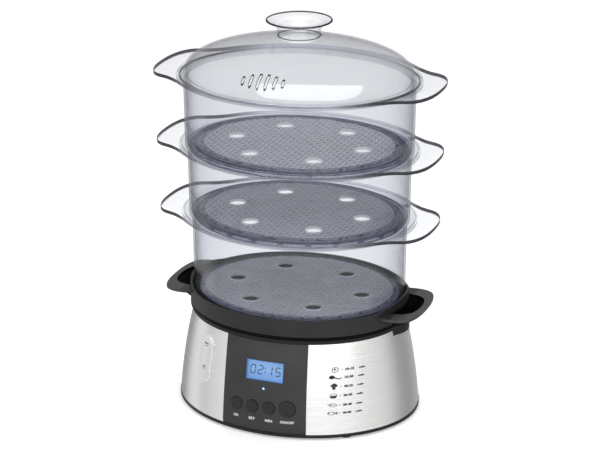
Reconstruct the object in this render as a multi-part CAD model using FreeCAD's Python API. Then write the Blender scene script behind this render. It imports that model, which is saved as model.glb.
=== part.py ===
import FreeCAD, Part
import math
import os

# Electric food steamer: an oval steel base with a timer panel, a drip tray with two
# refill scoops, three clear stacking bowls with lift-out floors, and a clear lid.
# Millimetres. Origin at the middle of the footprint, +Z up, front panel facing -Y.
# Radii named "_R" are half-lengths along X; the matching half-length along Y is OVAL
# times as long, because every oval part has the same proportions. Cutters run PAST
# the faces they open.

V = FreeCAD.Vector
UP = V(0, 0, 1)

# ---- overall form -------------------------------------------------------------
OVAL = 0.836
WALL = 2.0
STEEL = 0.8
FIT = 0.3
CHAMFER = 1.0
PAST = 1.0
TOTAL_HEIGHT = 420.0

# ---- lift-out floors: their radius drives every oval part --------------------
FLOOR_R = 108.5
FLOOR_THICK = 2.0
FLOOR_HEIGHT = 3.0
FLOOR_BAND = 7.0
FLOOR_RIM = 1.6
FLOOR_SEAT = 6.0
SLOT_PITCH = 11.0
SLOT_LENGTH = 11.0
SLOT_WIDTH = 2.6
EGG_COUNT = 6
EGG_RING_R = 70.0
EGG_R = 9.0
EGG_WALL = 1.6

# ---- drip tray ----------------------------------------------------------------
TRAY_R = FLOOR_R + 9.8
TRAY_WALL = 2.5
TRAY_TOP = 128.5
TRAY_LEDGE_Z = 124.0
TRAY_LEDGE = 2.5
TRAY_LEDGE_R = FLOOR_R + 3.5
TRAY_FLOOR = 2.0
TRAY_SKIRT_R = TRAY_R - 19.7
TRAY_SKIRT_DROP = 7.0
CHIMNEY_R = 46.5
CHIMNEY_TOP = 119.0
CHIMNEY_SLOTS = 8
CHIMNEY_SLOT_LENGTH = 24.0
CHIMNEY_SLOT_WIDTH = 6.0
CHIMNEY_SLOT_PLACE = 0.57
SCOOP_HALF = 46.0
SCOOP_COLLAR_TOP = 134.0
SCOOP_LIP = 2.5
SCOOP_WALL = 2.0
SCOOP_DRAIN_HALF = 8.0
SCOOP_DRAIN_WIDTH = 3.0

# ---- scoop outlines: reach past the tray wall, half-width ---------------------
SCOOP_LIP_OUTLINE = (
    (-20.3, 46.0), (-6.3, 47.0), (7.7, 46.5), (16.7, 41.0), (22.2, 28.0), (24.2, 12.0), (24.5, 0.0),
)
SCOOP_MOUTH_OUTLINE = ((-14.3, 30.0), (-4.3, 29.5), (5.7, 28.0), (12.7, 23.0), (17.2, 12.0), (18.2, 0.0))
SCOOP_FOOT_OUTLINE = ((-14.3, 19.0), (-6.3, 18.5), (-0.3, 16.0), (3.7, 10.0), (5.7, 4.0), (6.2, 0.0))

# ---- bowls: seat height, top height, then how far seat, recess and flange stand
# ---- out from the floor's radius ----------------------------------------------
BOWLS = (
    ("bowl_1", TRAY_LEDGE_Z, 213.5, 5.5, 15.2, 21.5),
    ("bowl_2", 209.0, 288.0, 9.5, 17.2, 23.6),
    ("bowl_3", 283.5, 362.5, 13.0, 19.0, 25.5),
)
BOWL_DRAFT = 1.0
RECESS_DEPTH = 4.5
LIP_DROP = 3.8
SPIGOT_DROP = 3.0
SPIGOT_GAP = 0.8
SPIGOT_WALL = 2.0
LEDGE_R = FLOOR_R - FLOOR_SEAT
LEDGE = 2.0
RIB_R = FLOOR_R + 3.5
RIB_THICK = 1.4
RIB_HEIGHT = 2.2
RIB_ROOM = 3.0
DRAIN_COUNT = 24
DRAIN_LENGTH = 6.0
DRAIN_WIDTH = 1.6

# ---- bowl handle: reach past the flange, half-width ---------------------------
TAB_OUTLINE = ((-26.0, 66.6), (-18.5, 60.8), (-12.0, 56.4), (-5.5, 53.4), (1.0, 51.0),
               (7.0, 47.0), (12.0, 40.5), (16.3, 30.0), (18.8, 16.0), (19.5, 0.0))
TAB_FLANGE_R = 134.0

# ---- lid ----------------------------------------------------------------------
LID_R = FLOOR_R + BOWLS[-1][4] - 1.2
LID_RIM = 2.5
DOME_R = LID_R - 4.7
DOME_BASE_Z = 360.0
DOME_RISE = 42.4
DOME_SHOULDER = 1.2
DOME_POWER = 0.37
DOME_SHARES = (1.0, 0.997, 0.99, 0.98, 0.965, 0.945, 0.92, 0.88, 0.82, 0.74, 0.62, 0.48, 0.34, 0.2)
VENT_X = -3.9
VENT_Y = -90.3
VENT_SPACING = 8.5
VENT_WIDTH = 2.8
VENT_LENGTHS = (7.5, 12.0, 15.0, 15.0, 12.0, 7.5)
BOSS_TOP = 403.0
BOSS_R = 22.8
BOSS_FOOT_R = 31.0
BOSS_FOOT_DROP = 7.5
BOSS_BORE = 18.0
BOSS_STEP = 2.4
BOSS_PLUG = 3.5
BOSS_CAP = 2.0
BOSS_FLARE = 1.5
BOSS_FLARE_DROP = 3.0
KNOB_R = 34.4
KNOB_NECK_R = 22.6
KNOB_WALL = 1.8
# Knob profile: radius off the neck's with height over the boss, then radius off the rim's
# with height off the top.
KNOB_NECK = ((0.0, 0.0), (0.0, 4.0), (1.0, 9.5))
KNOB_NECK_INSIDE = ((0.0, 0.0), (0.0, 4.0), (0.9, 9.5), (2.0, 12.0))
KNOB_UNDERSIDE = ((-8.8, -4.2), (-5.0, -2.4), (-0.4, -1.5))
KNOB_DISH = ((0.0, -0.9), (-0.5, 0.0), (-2.0, 0.0), (-6.0, -1.2), (-14.0, -2.2))
KNOB_HOLLOW = 2.8

# ---- water tank ---------------------------------------------------------------
TANK_RIM_R = TRAY_R - 1.3
TANK_RIM_TOP = 107.0
TANK_MOUTH_R = TRAY_R - 18.3
TANK_FLOOR_R = TANK_MOUTH_R - 6.0
TANK_FLOOR_Z = 42.0
TANK_FLOOR_THICK = 2.5
TANK_WALL = 2.3
PILLAR_X = 75.0
PILLAR_Y = 45.0
PILLAR_R = 4.5
PILLAR_FOOT_Z = 7.0
SCREW_R = 1.5
SCREW_HEAD_R = 2.8
SCREW_HEAD = 1.6
SCREW_TIP_Z = 22.0
SCREW_HOLE_TOP = 26.0
INLET_HALF = 22.0
INLET_Z = 96.0
INLET_GATE = 9.0
INLET_SLOT_HALF = 14.0
# Refill lip outline: reach past the tank's rim, half-width.
INLET_OUTLINE = ((-13.0, 22.0), (-3.0, 20.0), (3.5, 10.0), (5.5, 0.0))

# ---- base ---------------------------------------------------------------------
FOOT_R = 7.0
FOOT_HEIGHT = 3.7
FOOT_X = 80.0
FOOT_Y = 75.0
BOTTOM_Z = 2.5
BOTTOM_THICK = 2.5
BOTTOM_TOP = BOTTOM_Z + BOTTOM_THICK
WELL_WALL = 1.5
POST_R = 3.0
PILOT_R = 1.0
AIR_SLOTS = 5
AIR_SLOT_X = 20.0
AIR_SLOT_PITCH = 8.0
AIR_SLOT_WIDTH = 3.0
AIR_SLOT_Y0 = 30.0
AIR_SLOT_Y1 = 60.0
SHELL_Z0 = 6.0
SHELL_Z1 = 102.0
DECK_TOP = 104.0
DECK_R = TANK_RIM_R - 0.7
DECK_GAP = 1.0
SHELL_LEAN = 7.0
SHELL_BOW = 8.1
SHELL_FOOT_R = DECK_R - 0.8 + SHELL_LEAN + SHELL_BOW
BOTTOM_R = SHELL_FOOT_R + 0.5

# ---- heater -------------------------------------------------------------------
HEATER_R = 40.0
HEATER_FLANGE_R = 48.0
HEATER_FLANGE = 1.5
HEATER_DEPTH = 4.0
SEAL_THICK = 1.0
ELEMENT_RING_R = 28.0
ELEMENT_R = 3.5
ELEMENT_SWEEP = 300.0
ELEMENT_PIN_R = 2.5
ELEMENT_PIN_Z = 24.0
STUD_RING_R = 45.0
STUD_R = 1.6
STUD_COUNT = 3
STUD_LENGTH = 8.0
NUT_R = 3.2
NUT_HEIGHT = 2.4
THERMOSTAT_R = 8.0
THERMOSTAT_HEIGHT = 6.0
TERMINAL_TAB = 7.0
TERMINAL_TAB_WIDTH = 6.0
TERMINAL_TAB_THICK = 0.8
FUSE_R = 2.0
FUSE_LENGTH = 16.0
FUSE_Y = 15.0
FUSE_STRAP = 6.0
STEAM_RING_R = 55.0
STEAM_RING_TOP = 92.0
STEAM_ARCHES = 3
STEAM_ARCH_HALF = 7.0
STEAM_ARCH_HEIGHT = 6.0

# ---- timer panel --------------------------------------------------------------
PANEL_PROUD = 1.4
PANEL_HALF_LOW = 46.5
PANEL_HALF_HIGH = 44.5
PANEL_Z0 = 6.5
PANEL_BEVEL_Z = 11.0
PANEL_BEVEL_PROUD = 0.1
PANEL_BACK_GAP = 0.15
PANEL_TILT = 8.0
PANEL_MID_Z = 55.0
PANEL_SEAT = 5.0
BOARD_DEPTH = 14.0
BOARD_THICK = 1.6
BOARD_HALF = 42.0
BOARD_LOW_Z = 14.0
BOARD_HIGH_Z = 84.0
BOARD_POST_INSET = 7.0
BOARD_POST_RISE = 5.0
BOARD_HOLE_R = 1.2
BOARD_SCREW_HEAD_R = 2.5
BOARD_SCREW_HEAD = 1.5
BOARD_SCREW_DEPTH = 5.0
LCD_X = 1.25
LCD_Z = 71.5
LCD_WIDTH = 40.5
LCD_HEIGHT = 21.0
LCD_RECESS = 1.9
LCD_WINDOW = 2.0
LCD_FRAME = 2.5
LAMP_X = 1.0
LAMP_Z = 53.0
LAMP_R = 2.2
LAMP_PROUD = 0.4
LAMP_LENGTH = 4.4
LED_R = 1.5
LED_GAP = 0.6

# ---- buttons: name, centre x, centre z, radius --------------------------------
BUTTON_R = 6.6
POWER_BUTTON_R = 8.5
BUTTONS = (
    ("button_hour", -29.5, 32.2, BUTTON_R),
    ("button_set", -11.1, 32.3, BUTTON_R),
    ("button_minute", 7.4, 32.5, BUTTON_R),
    ("button_on_off", 27.0, 33.6, POWER_BUTTON_R),
)
BUTTON_PROUD = 0.8
BUTTON_GAP = 0.45
BUTTON_FLANGE = 1.1
BUTTON_FLANGE_DEPTH = 4.1
BUTTON_STEM_R = 2.0
BUTTON_STEM_TIP = 9.3
SWITCH_TIP = 10.4
SWITCH_SIZE = 6.0
SWITCH_BODY = 2.4
SWITCH_PIN_R = 1.6

# ---- water gauge --------------------------------------------------------------
GAUGE_X = -73.3
GAUGE_Z = 66.0
GAUGE_WIDTH = 19.0
GAUGE_HEIGHT = 51.0
GAUGE_LIP = 2.0
GAUGE_PROUD = 1.4
GAUGE_SEAT = 0.1
GAUGE_FACE = 1.0
GAUGE_PLUG = 3.5
GAUGE_DEPTH = 12.0
GAUGE_DUCT_R = 4.2
GAUGE_DUCT_BORE = 2.6
GAUGE_DUCT_U = 17.0
GAUGE_DUCT_END = 28.0
FLOAT_R = 4.4
FLOAT_DEPTH = 5.5

# ---- cable inlet --------------------------------------------------------------
GLAND_Z = 16.0
GLAND_BORE = 3.6
GLAND_R = 7.0
GLAND_FLANGE = 2.0
GLAND_FLANGE_R = 9.5
GLAND_COLLAR_R = 8.5
GLAND_Y0 = OVAL * SHELL_FOOT_R - 9.18
GLAND_Y1 = GLAND_Y0 + 12.0

# ---- power board --------------------------------------------------------------
POWER_X0 = 50.0
POWER_X1 = 104.0
POWER_HALF = 28.0
POWER_Z = 10.0
POWER_INSET = 4.0
RELAY = (88.0, -13.0, 19.0, 15.0, 15.5)
CAPACITOR = (88.0, 12.0, 18.0, 8.0, 14.0)
TERMINAL_X = 62.0
TERMINAL_Y = 4.0
TERMINAL_WIDTH = 10.0
TERMINAL_LENGTH = 30.0
TERMINAL_HEIGHT = 12.0
TERMINAL_WELLS = 4
TERMINAL_WELL_R = 1.8
TERMINAL_WELL_DEPTH = 5.0
TERMINAL_PITCH = 7.2
LEAD_R = 1.4
LEAD_Z = 17.5
LEAD_BEND = 4.0
LEAD_STRAIGHT = 7.0
LEAD_ENTRIES = (7.6, 0.4)
RIBBON_X = 24.0
RIBBON_WIDTH = 9.0
RIBBON_THICK = 1.0
RIBBON_LIFT = 1.0
RIBBON_ROUTE = ((51.0, -16.0), (40.0, -60.0), (RIBBON_X, -93.0))
PLUG_X = 53.5
PLUG_Y = -16.0
PLUG_LENGTH = 6.0
PLUG_DEPTH = 4.0
PANEL_PLUG_LENGTH = 12.0


# ---- helpers ------------------------------------------------------------------
def narrowed(shape):
    """Squeeze a round shape in Y so that it takes the steamer's oval outline."""
    matrix = FreeCAD.Matrix()
    matrix.scale(1, OVAL, 1)
    return shape.transformGeometry(matrix)


def turned(points):
    """Round solid from a closed outline of (radius, height) points."""
    corners = [V(r, 0, z) for r, z in points]
    face = Part.Face(Part.makePolygon(corners + corners[:1]))
    return face.revolve(V(0, 0, 0), UP, 360)


def oval(points):
    """Oval solid from a closed outline of (radius, height) points."""
    return narrowed(turned(points))


def curve(points):
    """Smooth edge through (radius, height) points in the XZ plane."""
    spline = Part.BSplineCurve()
    spline.interpolate([V(r, 0, z) for r, z in points])
    return spline.toShape()


def chain(*points):
    """Straight edges through (radius, height) points in the XZ plane."""
    return Part.makePolygon([V(r, 0, z) for r, z in points])


def turned_outline(*pieces):
    """Round solid from the curves and chains that close an outline."""
    edges = [edge for piece in pieces for edge in piece.Edges]
    wire = Part.Wire(Part.__sortEdges__(edges))
    return Part.Face(wire).revolve(V(0, 0, 0), UP, 360)


def oval_disc(radius, z0, z1):
    """Upright oval prism."""
    edge = Part.Ellipse(V(0, 0, z0), radius, radius * OVAL).toShape()
    return Part.Face(Part.Wire(edge)).extrude(V(0, 0, z1 - z0))


def oval_ring(outer, inner, z0, z1):
    """Upright oval tube."""
    return oval_disc(outer, z0, z1).cut(oval_disc(inner, z0 - PAST, z1 + PAST))


def rod(radius, x, y, z0, z1):
    """Upright cylinder."""
    return Part.makeCylinder(radius, z1 - z0, V(x, y, z0))


def block(x0, x1, y0, y1, z0, z1):
    """Box between two opposite corners."""
    corner = V(min(x0, x1), min(y0, y1), min(z0, z1))
    return Part.makeBox(abs(x1 - x0), abs(y1 - y0), abs(z1 - z0), corner)


def outline_prism(points, z0, z1):
    """Prism on a plan outline given for y >= 0 and mirrored to y <= 0.

    The outline runs smoothly through the points and is closed straight at its ends.
    """
    mirrored = [(x, -y) for x, y in reversed(points) if y > 0]
    spline = Part.BSplineCurve()
    spline.interpolate([V(x, y, z0) for x, y in list(points) + mirrored])
    edge = spline.toShape()
    first = V(points[0][0], points[0][1], z0)
    last = V(points[0][0], -points[0][1], z0)
    wire = Part.Wire([edge, Part.makeLine(last, first)])
    return Part.Face(wire).extrude(V(0, 0, z1 - z0))


def both_sides(shape):
    """A +X feature together with its twin on the -X side."""
    return [shape, shape.mirror(V(0, 0, 0), V(1, 0, 0))]


def four_corners(x, y):
    """The four places at +-x, +-y."""
    return [(sx * x, sy * y) for sx in (1, -1) for sy in (1, -1)]


def polar(count, radius, start=0.0):
    """Evenly spaced (x, y, angle) places on the steamer's oval."""
    places = []
    for index in range(count):
        angle = start + 360.0 * index / count
        x = radius * math.cos(math.radians(angle))
        y = radius * OVAL * math.sin(math.radians(angle))
        places.append((x, y, angle))
    return places


def shell_r(z):
    """Outer X half-length of the steel skin at a height."""
    share = (z - SHELL_Z0) / (SHELL_Z1 - SHELL_Z0)
    return SHELL_FOOT_R - SHELL_LEAN * share - SHELL_BOW * share ** 2


def flank(offset, z0, z1):
    """Curved outline of the base's flank, moved outward by an offset."""
    rise = SHELL_Z1 - SHELL_Z0
    slope = -(SHELL_LEAN + 2 * SHELL_BOW * (z0 - SHELL_Z0) / rise) / rise
    start = V(shell_r(z0) + offset, 0, z0)
    handle = V(start.x + slope * (z1 - z0) / 2, 0, (z0 + z1) / 2)
    arc = Part.BezierCurve()
    arc.setPoles([start, handle, V(shell_r(z1) + offset, 0, z1)])
    return arc.toShape()


def flank_band(outer, inner, z0, z1):
    """Oval band between two offsets of the flank."""
    foot = chain((shell_r(z0) + outer, z0), (shell_r(z0) + inner, z0))
    top = chain((shell_r(z1) + outer, z1), (shell_r(z1) + inner, z1))
    return narrowed(turned_outline(flank(outer, z0, z1), foot, flank(inner, z0, z1), top))


def flank_core(offset, z0, z1):
    """Everything inside the flank moved outward by an offset."""
    ends = chain((shell_r(z0) + offset, z0), (0, z0), (0, z1), (shell_r(z1) + offset, z1))
    return narrowed(turned_outline(flank(offset, z0, z1), ends))


def bored_rod(radius, bore, x, y, z0, z1):
    """Upright tube."""
    return rod(radius, x, y, z0, z1).cut(rod(bore, x, y, z0 - PAST, z1 + PAST))


def moved_out(outline, radius):
    """Plan outline whose reaches are counted from a radius."""
    return [(radius + reach, half) for reach, half in outline]


# ---- frames on the sloping flank ----------------------------------------------
class Slope:
    """Flat working frame on the flank: x along it, u up it and n out of it."""

    def __init__(self, origin, across, up, out):
        self.place = FreeCAD.Placement(origin, FreeCAD.Rotation(across, up, out, "ZXY"))
        self.origin = origin
        self.up = up
        self.out = out

    def put(self, shape):
        """Move a shape drawn about the world origin onto the flank."""
        shape.Placement = self.place.multiply(shape.Placement)
        return shape

    def height(self, point):
        """Position of a world point along u."""
        return (point - self.origin).dot(self.up)

    def depth(self, point):
        """Position of a world point along n."""
        return (point - self.origin).dot(self.out)

    def rod(self, radius, x, u, n0, n1):
        """Cylinder standing out of the flank."""
        return self.put(Part.makeCylinder(radius, n1 - n0, V(x, u, n0)))

    def block(self, x, u, width, height, n0, n1):
        """Box centred on (x, u)."""
        corner = V(x - width / 2, u - height / 2, n0)
        return self.put(Part.makeBox(width, height, n1 - n0, corner))

    def stadium(self, width, height, n0, n1):
        """Upright slot-shaped prism centred on the frame."""
        radius = width / 2
        half = height / 2 - radius
        tall = Part.makeBox(width, 2 * half, n1 - n0, V(-radius, -half, n0))
        low = Part.makeCylinder(radius, n1 - n0, V(0, -half, n0))
        high = Part.makeCylinder(radius, n1 - n0, V(0, half, n0))
        return self.put(tall.fuse([low, high]).removeSplitter())


def panel_point(x, z):
    """Point on the panel's outer face."""
    radius = shell_r(z) + PANEL_PROUD
    return V(x, -OVAL * math.sqrt(radius ** 2 - x ** 2), z)


def panel_slope():
    """Frame of the timer panel, its board and its buttons."""
    tilt = math.radians(PANEL_TILT)
    up = V(0, math.sin(tilt), math.cos(tilt))
    out = V(0, -math.cos(tilt), math.sin(tilt))
    return Slope(panel_point(0, PANEL_MID_Z), V(1, 0, 0), up, out)


def gauge_slope():
    """Frame of the water gauge on the front left of the flank."""
    radius = shell_r(GAUGE_Z)
    origin = V(GAUGE_X, -OVAL * math.sqrt(radius ** 2 - GAUGE_X ** 2), GAUGE_Z)
    lean = (shell_r(GAUGE_Z - PAST) - shell_r(GAUGE_Z + PAST)) / 2
    out = V(origin.x, origin.y / OVAL ** 2, radius * lean).normalize()
    up = (UP - out * UP.dot(out)).normalize()
    return Slope(origin, up.cross(out), up, out)


PANEL = panel_slope()
GAUGE = gauge_slope()


def panel_wedge(margin, z0, z1):
    """Tapered prism that marks out the panel on the front of the flank."""
    low = PANEL_HALF_LOW + margin
    high = PANEL_HALF_HIGH + margin
    corners = [V(-low, 0, z0), V(low, 0, z0), V(high, 0, z1), V(-high, 0, z1)]
    face = Part.Face(Part.makePolygon(corners + corners[:1]))
    return face.extrude(V(0, -2 * BOTTOM_R, 0))


# ---- base: skins and tank -----------------------------------------------------
def gauge_hole():
    """Opening for the gauge window through the flank."""
    width = GAUGE_WIDTH - 2 * GAUGE_LIP
    height = GAUGE_HEIGHT - 2 * GAUGE_LIP
    return GAUGE.stadium(width, height, -GAUGE_DEPTH, GAUGE_DEPTH)


def gland_hole():
    """Opening for the cable gland through the rear of the flank."""
    length = GLAND_Y1 - GLAND_Y0 + 2 * PAST
    return Part.makeCylinder(GLAND_R, length, V(0, GLAND_Y0 - PAST, GLAND_Z), V(0, 1, 0))


def inlet_notches(z1):
    """Notches at both ends where the tank's refill lips pass out."""
    half = INLET_HALF + 2 * FIT
    notch = block(TANK_FLOOR_R, BOTTOM_R, -half, half, INLET_Z - FIT, z1)
    return both_sides(notch)


def steel_skin():
    """Brushed steel sleeve, open where the panel is let in."""
    skin = flank_band(0, -STEEL, SHELL_Z0, SHELL_Z1)
    skin = skin.cut(panel_wedge(0, SHELL_Z0 - PAST, SHELL_Z1 + PAST))
    return skin.cut([gauge_hole(), gland_hole()] + inlet_notches(SHELL_Z1 + PAST))


def base_housing():
    """Plastic housing behind the steel."""
    housing = flank_band(-STEEL, -STEEL - WALL, SHELL_Z0, SHELL_Z1)
    opening = panel_wedge(-PANEL_SEAT, PANEL_Z0 + PANEL_SEAT, SHELL_Z1 - 2 * PANEL_SEAT)
    return housing.cut([opening, gauge_hole(), gland_hole()] + inlet_notches(SHELL_Z1 + PAST))


def housing_shells():
    """The housing's four shells by name, parted beside the panel."""
    whole = base_housing()
    split = PANEL_HALF_LOW + PANEL_SEAT
    far = BOTTOM_R
    areas = {
        "housing_left": (-far, -split, -far, far), "housing_right": (split, far, -far, far),
        "housing_front": (-split, split, -far, 0), "housing_rear": (-split, split, 0, far),
    }
    return {name: whole.common(block(*area, 0, TOTAL_HEIGHT)) for name, area in areas.items()}


def deck_half(side):
    """Front or rear half of the ring on the housing that carries the tank."""
    deck_r = TANK_MOUTH_R + TANK_WALL + DECK_GAP
    under = SHELL_Z1 - WALL
    plug_r = shell_r(SHELL_Z1) - STEEL - WALL - FIT
    ring = oval([
        (DECK_R, SHELL_Z1), (DECK_R, DECK_TOP), (deck_r, DECK_TOP), (deck_r, under),
        (plug_r, under), (plug_r, SHELL_Z1),
    ])
    half = block(-BOTTOM_R, BOTTOM_R, 0, side * BOTTOM_R, under, DECK_TOP)
    return ring.common(half).cut(inlet_notches(DECK_TOP + PAST))


def base_bottom():
    """Bottom cover with foot pockets, screw wells, board posts and air slots."""
    rim_inner = shell_r(SHELL_Z0) - STEEL - WALL
    plate = oval_disc(BOTTOM_R, BOTTOM_Z, BOTTOM_TOP)
    rim = oval_ring(BOTTOM_R, rim_inner, BOTTOM_Z, SHELL_Z0)
    pillars = four_corners(PILLAR_X, PILLAR_Y)
    wells = [rod(PILLAR_R + WELL_WALL, x, y, BOTTOM_Z, PILLAR_FOOT_Z) for x, y in pillars]
    posts = [rod(POST_R, x, y, BOTTOM_Z, POWER_Z) for x, y in power_board_corners()]
    cover = plate.fuse([rim] + wells + posts).removeSplitter()
    cuts = [rod(FOOT_R, x, y, 0, FOOT_HEIGHT) for x, y in four_corners(FOOT_X, FOOT_Y)]
    for x, y in pillars:
        cuts.append(rod(SCREW_HEAD_R + FIT, x, y, 0, BOTTOM_TOP))
        cuts.append(rod(SCREW_R + FIT, x, y, 0, POWER_Z))
    for x, y in power_board_corners():
        cuts.append(rod(PILOT_R, x, y, BOTTOM_Z + CHAMFER, POWER_Z + PAST))
    return cover.cut(cuts + air_slots())


def air_slots():
    """Rows of cooling slots in the bottom cover."""
    half = AIR_SLOT_WIDTH / 2
    slots = []
    for side in (-1, 1):
        for index in range(AIR_SLOTS):
            x = side * (AIR_SLOT_X + AIR_SLOT_PITCH * index)
            slots.append(block(x - half, x + half, AIR_SLOT_Y0, AIR_SLOT_Y1, 0, SHELL_Z0))
    return slots


def rubber_feet():
    """Four feet pressed into the bottom cover."""
    return Part.makeCompound([rod(FOOT_R, x, y, 0, FOOT_HEIGHT) for x, y in four_corners(FOOT_X, FOOT_Y)])


def bottom_screws():
    """Four screws from below into the tank's pillars."""
    screws = []
    for x, y in four_corners(PILLAR_X, PILLAR_Y):
        head = rod(SCREW_HEAD_R, x, y, BOTTOM_TOP - SCREW_HEAD, BOTTOM_TOP)
        screws.append(head.fuse(rod(SCREW_R, x, y, BOTTOM_TOP, SCREW_TIP_Z)))
    return Part.makeCompound(screws)


def inlet_cup():
    """Refill lip of the tank that shows below each scoop."""
    outer_points = moved_out(INLET_OUTLINE, TANK_RIM_R)
    outer = outline_prism(outer_points, INLET_Z, TANK_RIM_TOP)
    inner_points = [(x - WALL, max(0.0, y - WALL)) for x, y in outer_points]
    hollow = outline_prism(inner_points, INLET_Z + WALL, TANK_RIM_TOP + PAST)
    return outer, hollow


def water_tank():
    """Black basin with a rim, four screw pillars and two refill lips."""
    floor_under = TANK_FLOOR_Z - TANK_FLOOR_THICK
    basin = oval([
        (TANK_RIM_R, DECK_TOP), (TANK_RIM_R, TANK_RIM_TOP - CHAMFER),
        (TANK_RIM_R - CHAMFER, TANK_RIM_TOP), (TANK_MOUTH_R, TANK_RIM_TOP),
        (TANK_FLOOR_R, TANK_FLOOR_Z), (0, TANK_FLOOR_Z), (0, floor_under),
        (TANK_FLOOR_R + TANK_WALL, floor_under), (TANK_MOUTH_R + TANK_WALL, DECK_TOP),
    ])
    places = four_corners(PILLAR_X, PILLAR_Y)
    pillars = [rod(PILLAR_R, x, y, PILLAR_FOOT_Z, TANK_FLOOR_Z - CHAMFER) for x, y in places]
    cup, hollow = inlet_cup()
    inside = oval_disc(TANK_MOUTH_R - CHAMFER, INLET_Z - PAST, TANK_RIM_TOP + PAST)
    tank = basin.fuse(pillars + both_sides(cup.cut(inside))).removeSplitter()
    half = INLET_SLOT_HALF
    gate = block(TANK_FLOOR_R, TANK_RIM_R - INLET_GATE, -half, half, INLET_Z + WALL, TANK_RIM_TOP + PAST)
    cuts = both_sides(hollow.fuse(gate))
    cuts.append(rod(HEATER_R + SEAL_THICK, 0, 0, floor_under - PAST, TANK_FLOOR_Z + PAST))
    cuts += [rod(STUD_R + FIT, x, y, floor_under - PAST, TANK_FLOOR_Z + PAST) for x, y in stud_places()]
    cuts += [rod(SCREW_R, x, y, 0, SCREW_HOLE_TOP) for x, y in places]
    for u in (-GAUGE_DUCT_U, GAUGE_DUCT_U):
        cuts.append(GAUGE.rod(GAUGE_DUCT_R, 0, u, -GAUGE_DUCT_END - WALL, -GAUGE_DEPTH - 2 * WALL))
    return tank.cut(cuts)


# ---- base: heater -------------------------------------------------------------
def stud_places():
    """Where the heater's fixing studs stand."""
    places = []
    for index in range(STUD_COUNT):
        angle = math.radians(90 + 360.0 * index / STUD_COUNT)
        places.append((STUD_RING_R * math.cos(angle), STUD_RING_R * math.sin(angle)))
    return places


def heater_plate():
    """Round steel plate that closes the tank floor, with three studs below."""
    top = TANK_FLOOR_Z + HEATER_FLANGE
    flange = rod(HEATER_FLANGE_R, 0, 0, TANK_FLOOR_Z, top)
    boss = rod(HEATER_R, 0, 0, TANK_FLOOR_Z - HEATER_DEPTH, TANK_FLOOR_Z)
    foot = TANK_FLOOR_Z - STUD_LENGTH
    studs = [rod(STUD_R, x, y, foot, TANK_FLOOR_Z) for x, y in stud_places()]
    return flange.fuse([boss] + studs).removeSplitter()


def heater_seal():
    """Silicone ring between the plate and the tank floor."""
    z0 = TANK_FLOOR_Z - TANK_FLOOR_THICK
    return bored_rod(HEATER_R + SEAL_THICK, HEATER_R, 0, 0, z0, TANK_FLOOR_Z)


def hexagon(radius, x, y, z):
    """Six corners round a place."""
    turns = [math.radians(60 * k) for k in range(6)]
    return [V(x + radius * math.cos(t), y + radius * math.sin(t), z) for t in turns]


def heater_nuts():
    """Hexagon nuts on the heater's studs."""
    top = TANK_FLOOR_Z - TANK_FLOOR_THICK
    nuts = []
    for x, y in stud_places():
        corners = hexagon(NUT_R, x, y, top - NUT_HEIGHT)
        nut = Part.Face(Part.makePolygon(corners + corners[:1])).extrude(V(0, 0, NUT_HEIGHT))
        nuts.append(nut.cut(rod(STUD_R, x, y, top - STUD_LENGTH, top + PAST)))
    return Part.makeCompound(nuts)


def element_ends():
    """Where the element's two cold pins turn down."""
    angle = math.radians((360.0 - ELEMENT_SWEEP) / 2)
    x = ELEMENT_RING_R * math.cos(angle)
    y = ELEMENT_RING_R * math.sin(angle)
    return [(x, y), (x, -y)]


def heating_element():
    """Horseshoe tube under the heater plate with two cold pins."""
    z = TANK_FLOOR_Z - HEATER_DEPTH - ELEMENT_R
    tube = Part.makeTorus(ELEMENT_RING_R, ELEMENT_R, V(0, 0, 0), UP, -180, 180, ELEMENT_SWEEP)
    tube.rotate(V(0, 0, 0), UP, (360.0 - ELEMENT_SWEEP) / 2)
    tube.translate(V(0, 0, z))
    parts = []
    for x, y in element_ends():
        parts.append(Part.makeSphere(ELEMENT_R, V(x, y, z)))
        parts.append(rod(ELEMENT_PIN_R, x, y, ELEMENT_PIN_Z, z))
    return tube.fuse(parts)


def thermostat():
    """Bimetal disc thermostat on the middle of the heater plate."""
    top = TANK_FLOOR_Z - HEATER_DEPTH
    low = top - THERMOSTAT_HEIGHT
    can = rod(THERMOSTAT_R, 0, 0, low, top)
    wide = TERMINAL_TAB_WIDTH / 2
    thick = TERMINAL_TAB_THICK / 2
    places = (-THERMOSTAT_R / 2, THERMOSTAT_R / 2)
    tabs = [block(x - thick, x + thick, -wide, wide, low - TERMINAL_TAB, low) for x in places]
    return can.fuse(tabs)


def thermal_fuse():
    """Cut-out capsule strapped under the heater plate."""
    top = TANK_FLOOR_Z - HEATER_DEPTH
    start = V(-FUSE_LENGTH / 2, FUSE_Y, top - FUSE_R)
    capsule = Part.makeCylinder(FUSE_R, FUSE_LENGTH, start, V(1, 0, 0))
    front = FUSE_Y - FUSE_STRAP / 2
    strap = block(-FUSE_R, FUSE_R, front, front + FUSE_STRAP, top - CHAMFER, top)
    return capsule.fuse(strap)


# ---- base: timer panel --------------------------------------------------------
def on_panel(x, z):
    """Frame position (u, n) of a place on the panel's face."""
    point = panel_point(x, z)
    return PANEL.height(point), PANEL.depth(point)


def board_posts():
    """Places (x, u) of the board's four fixing posts."""
    low = PANEL.height(panel_point(0, BOARD_LOW_Z)) + BOARD_POST_RISE
    high = PANEL.height(panel_point(0, BOARD_HIGH_Z)) - BOARD_POST_RISE
    x = BOARD_HALF - BOARD_POST_INSET
    return [(-x, low), (x, low), (-x, high), (x, high)]


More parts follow.
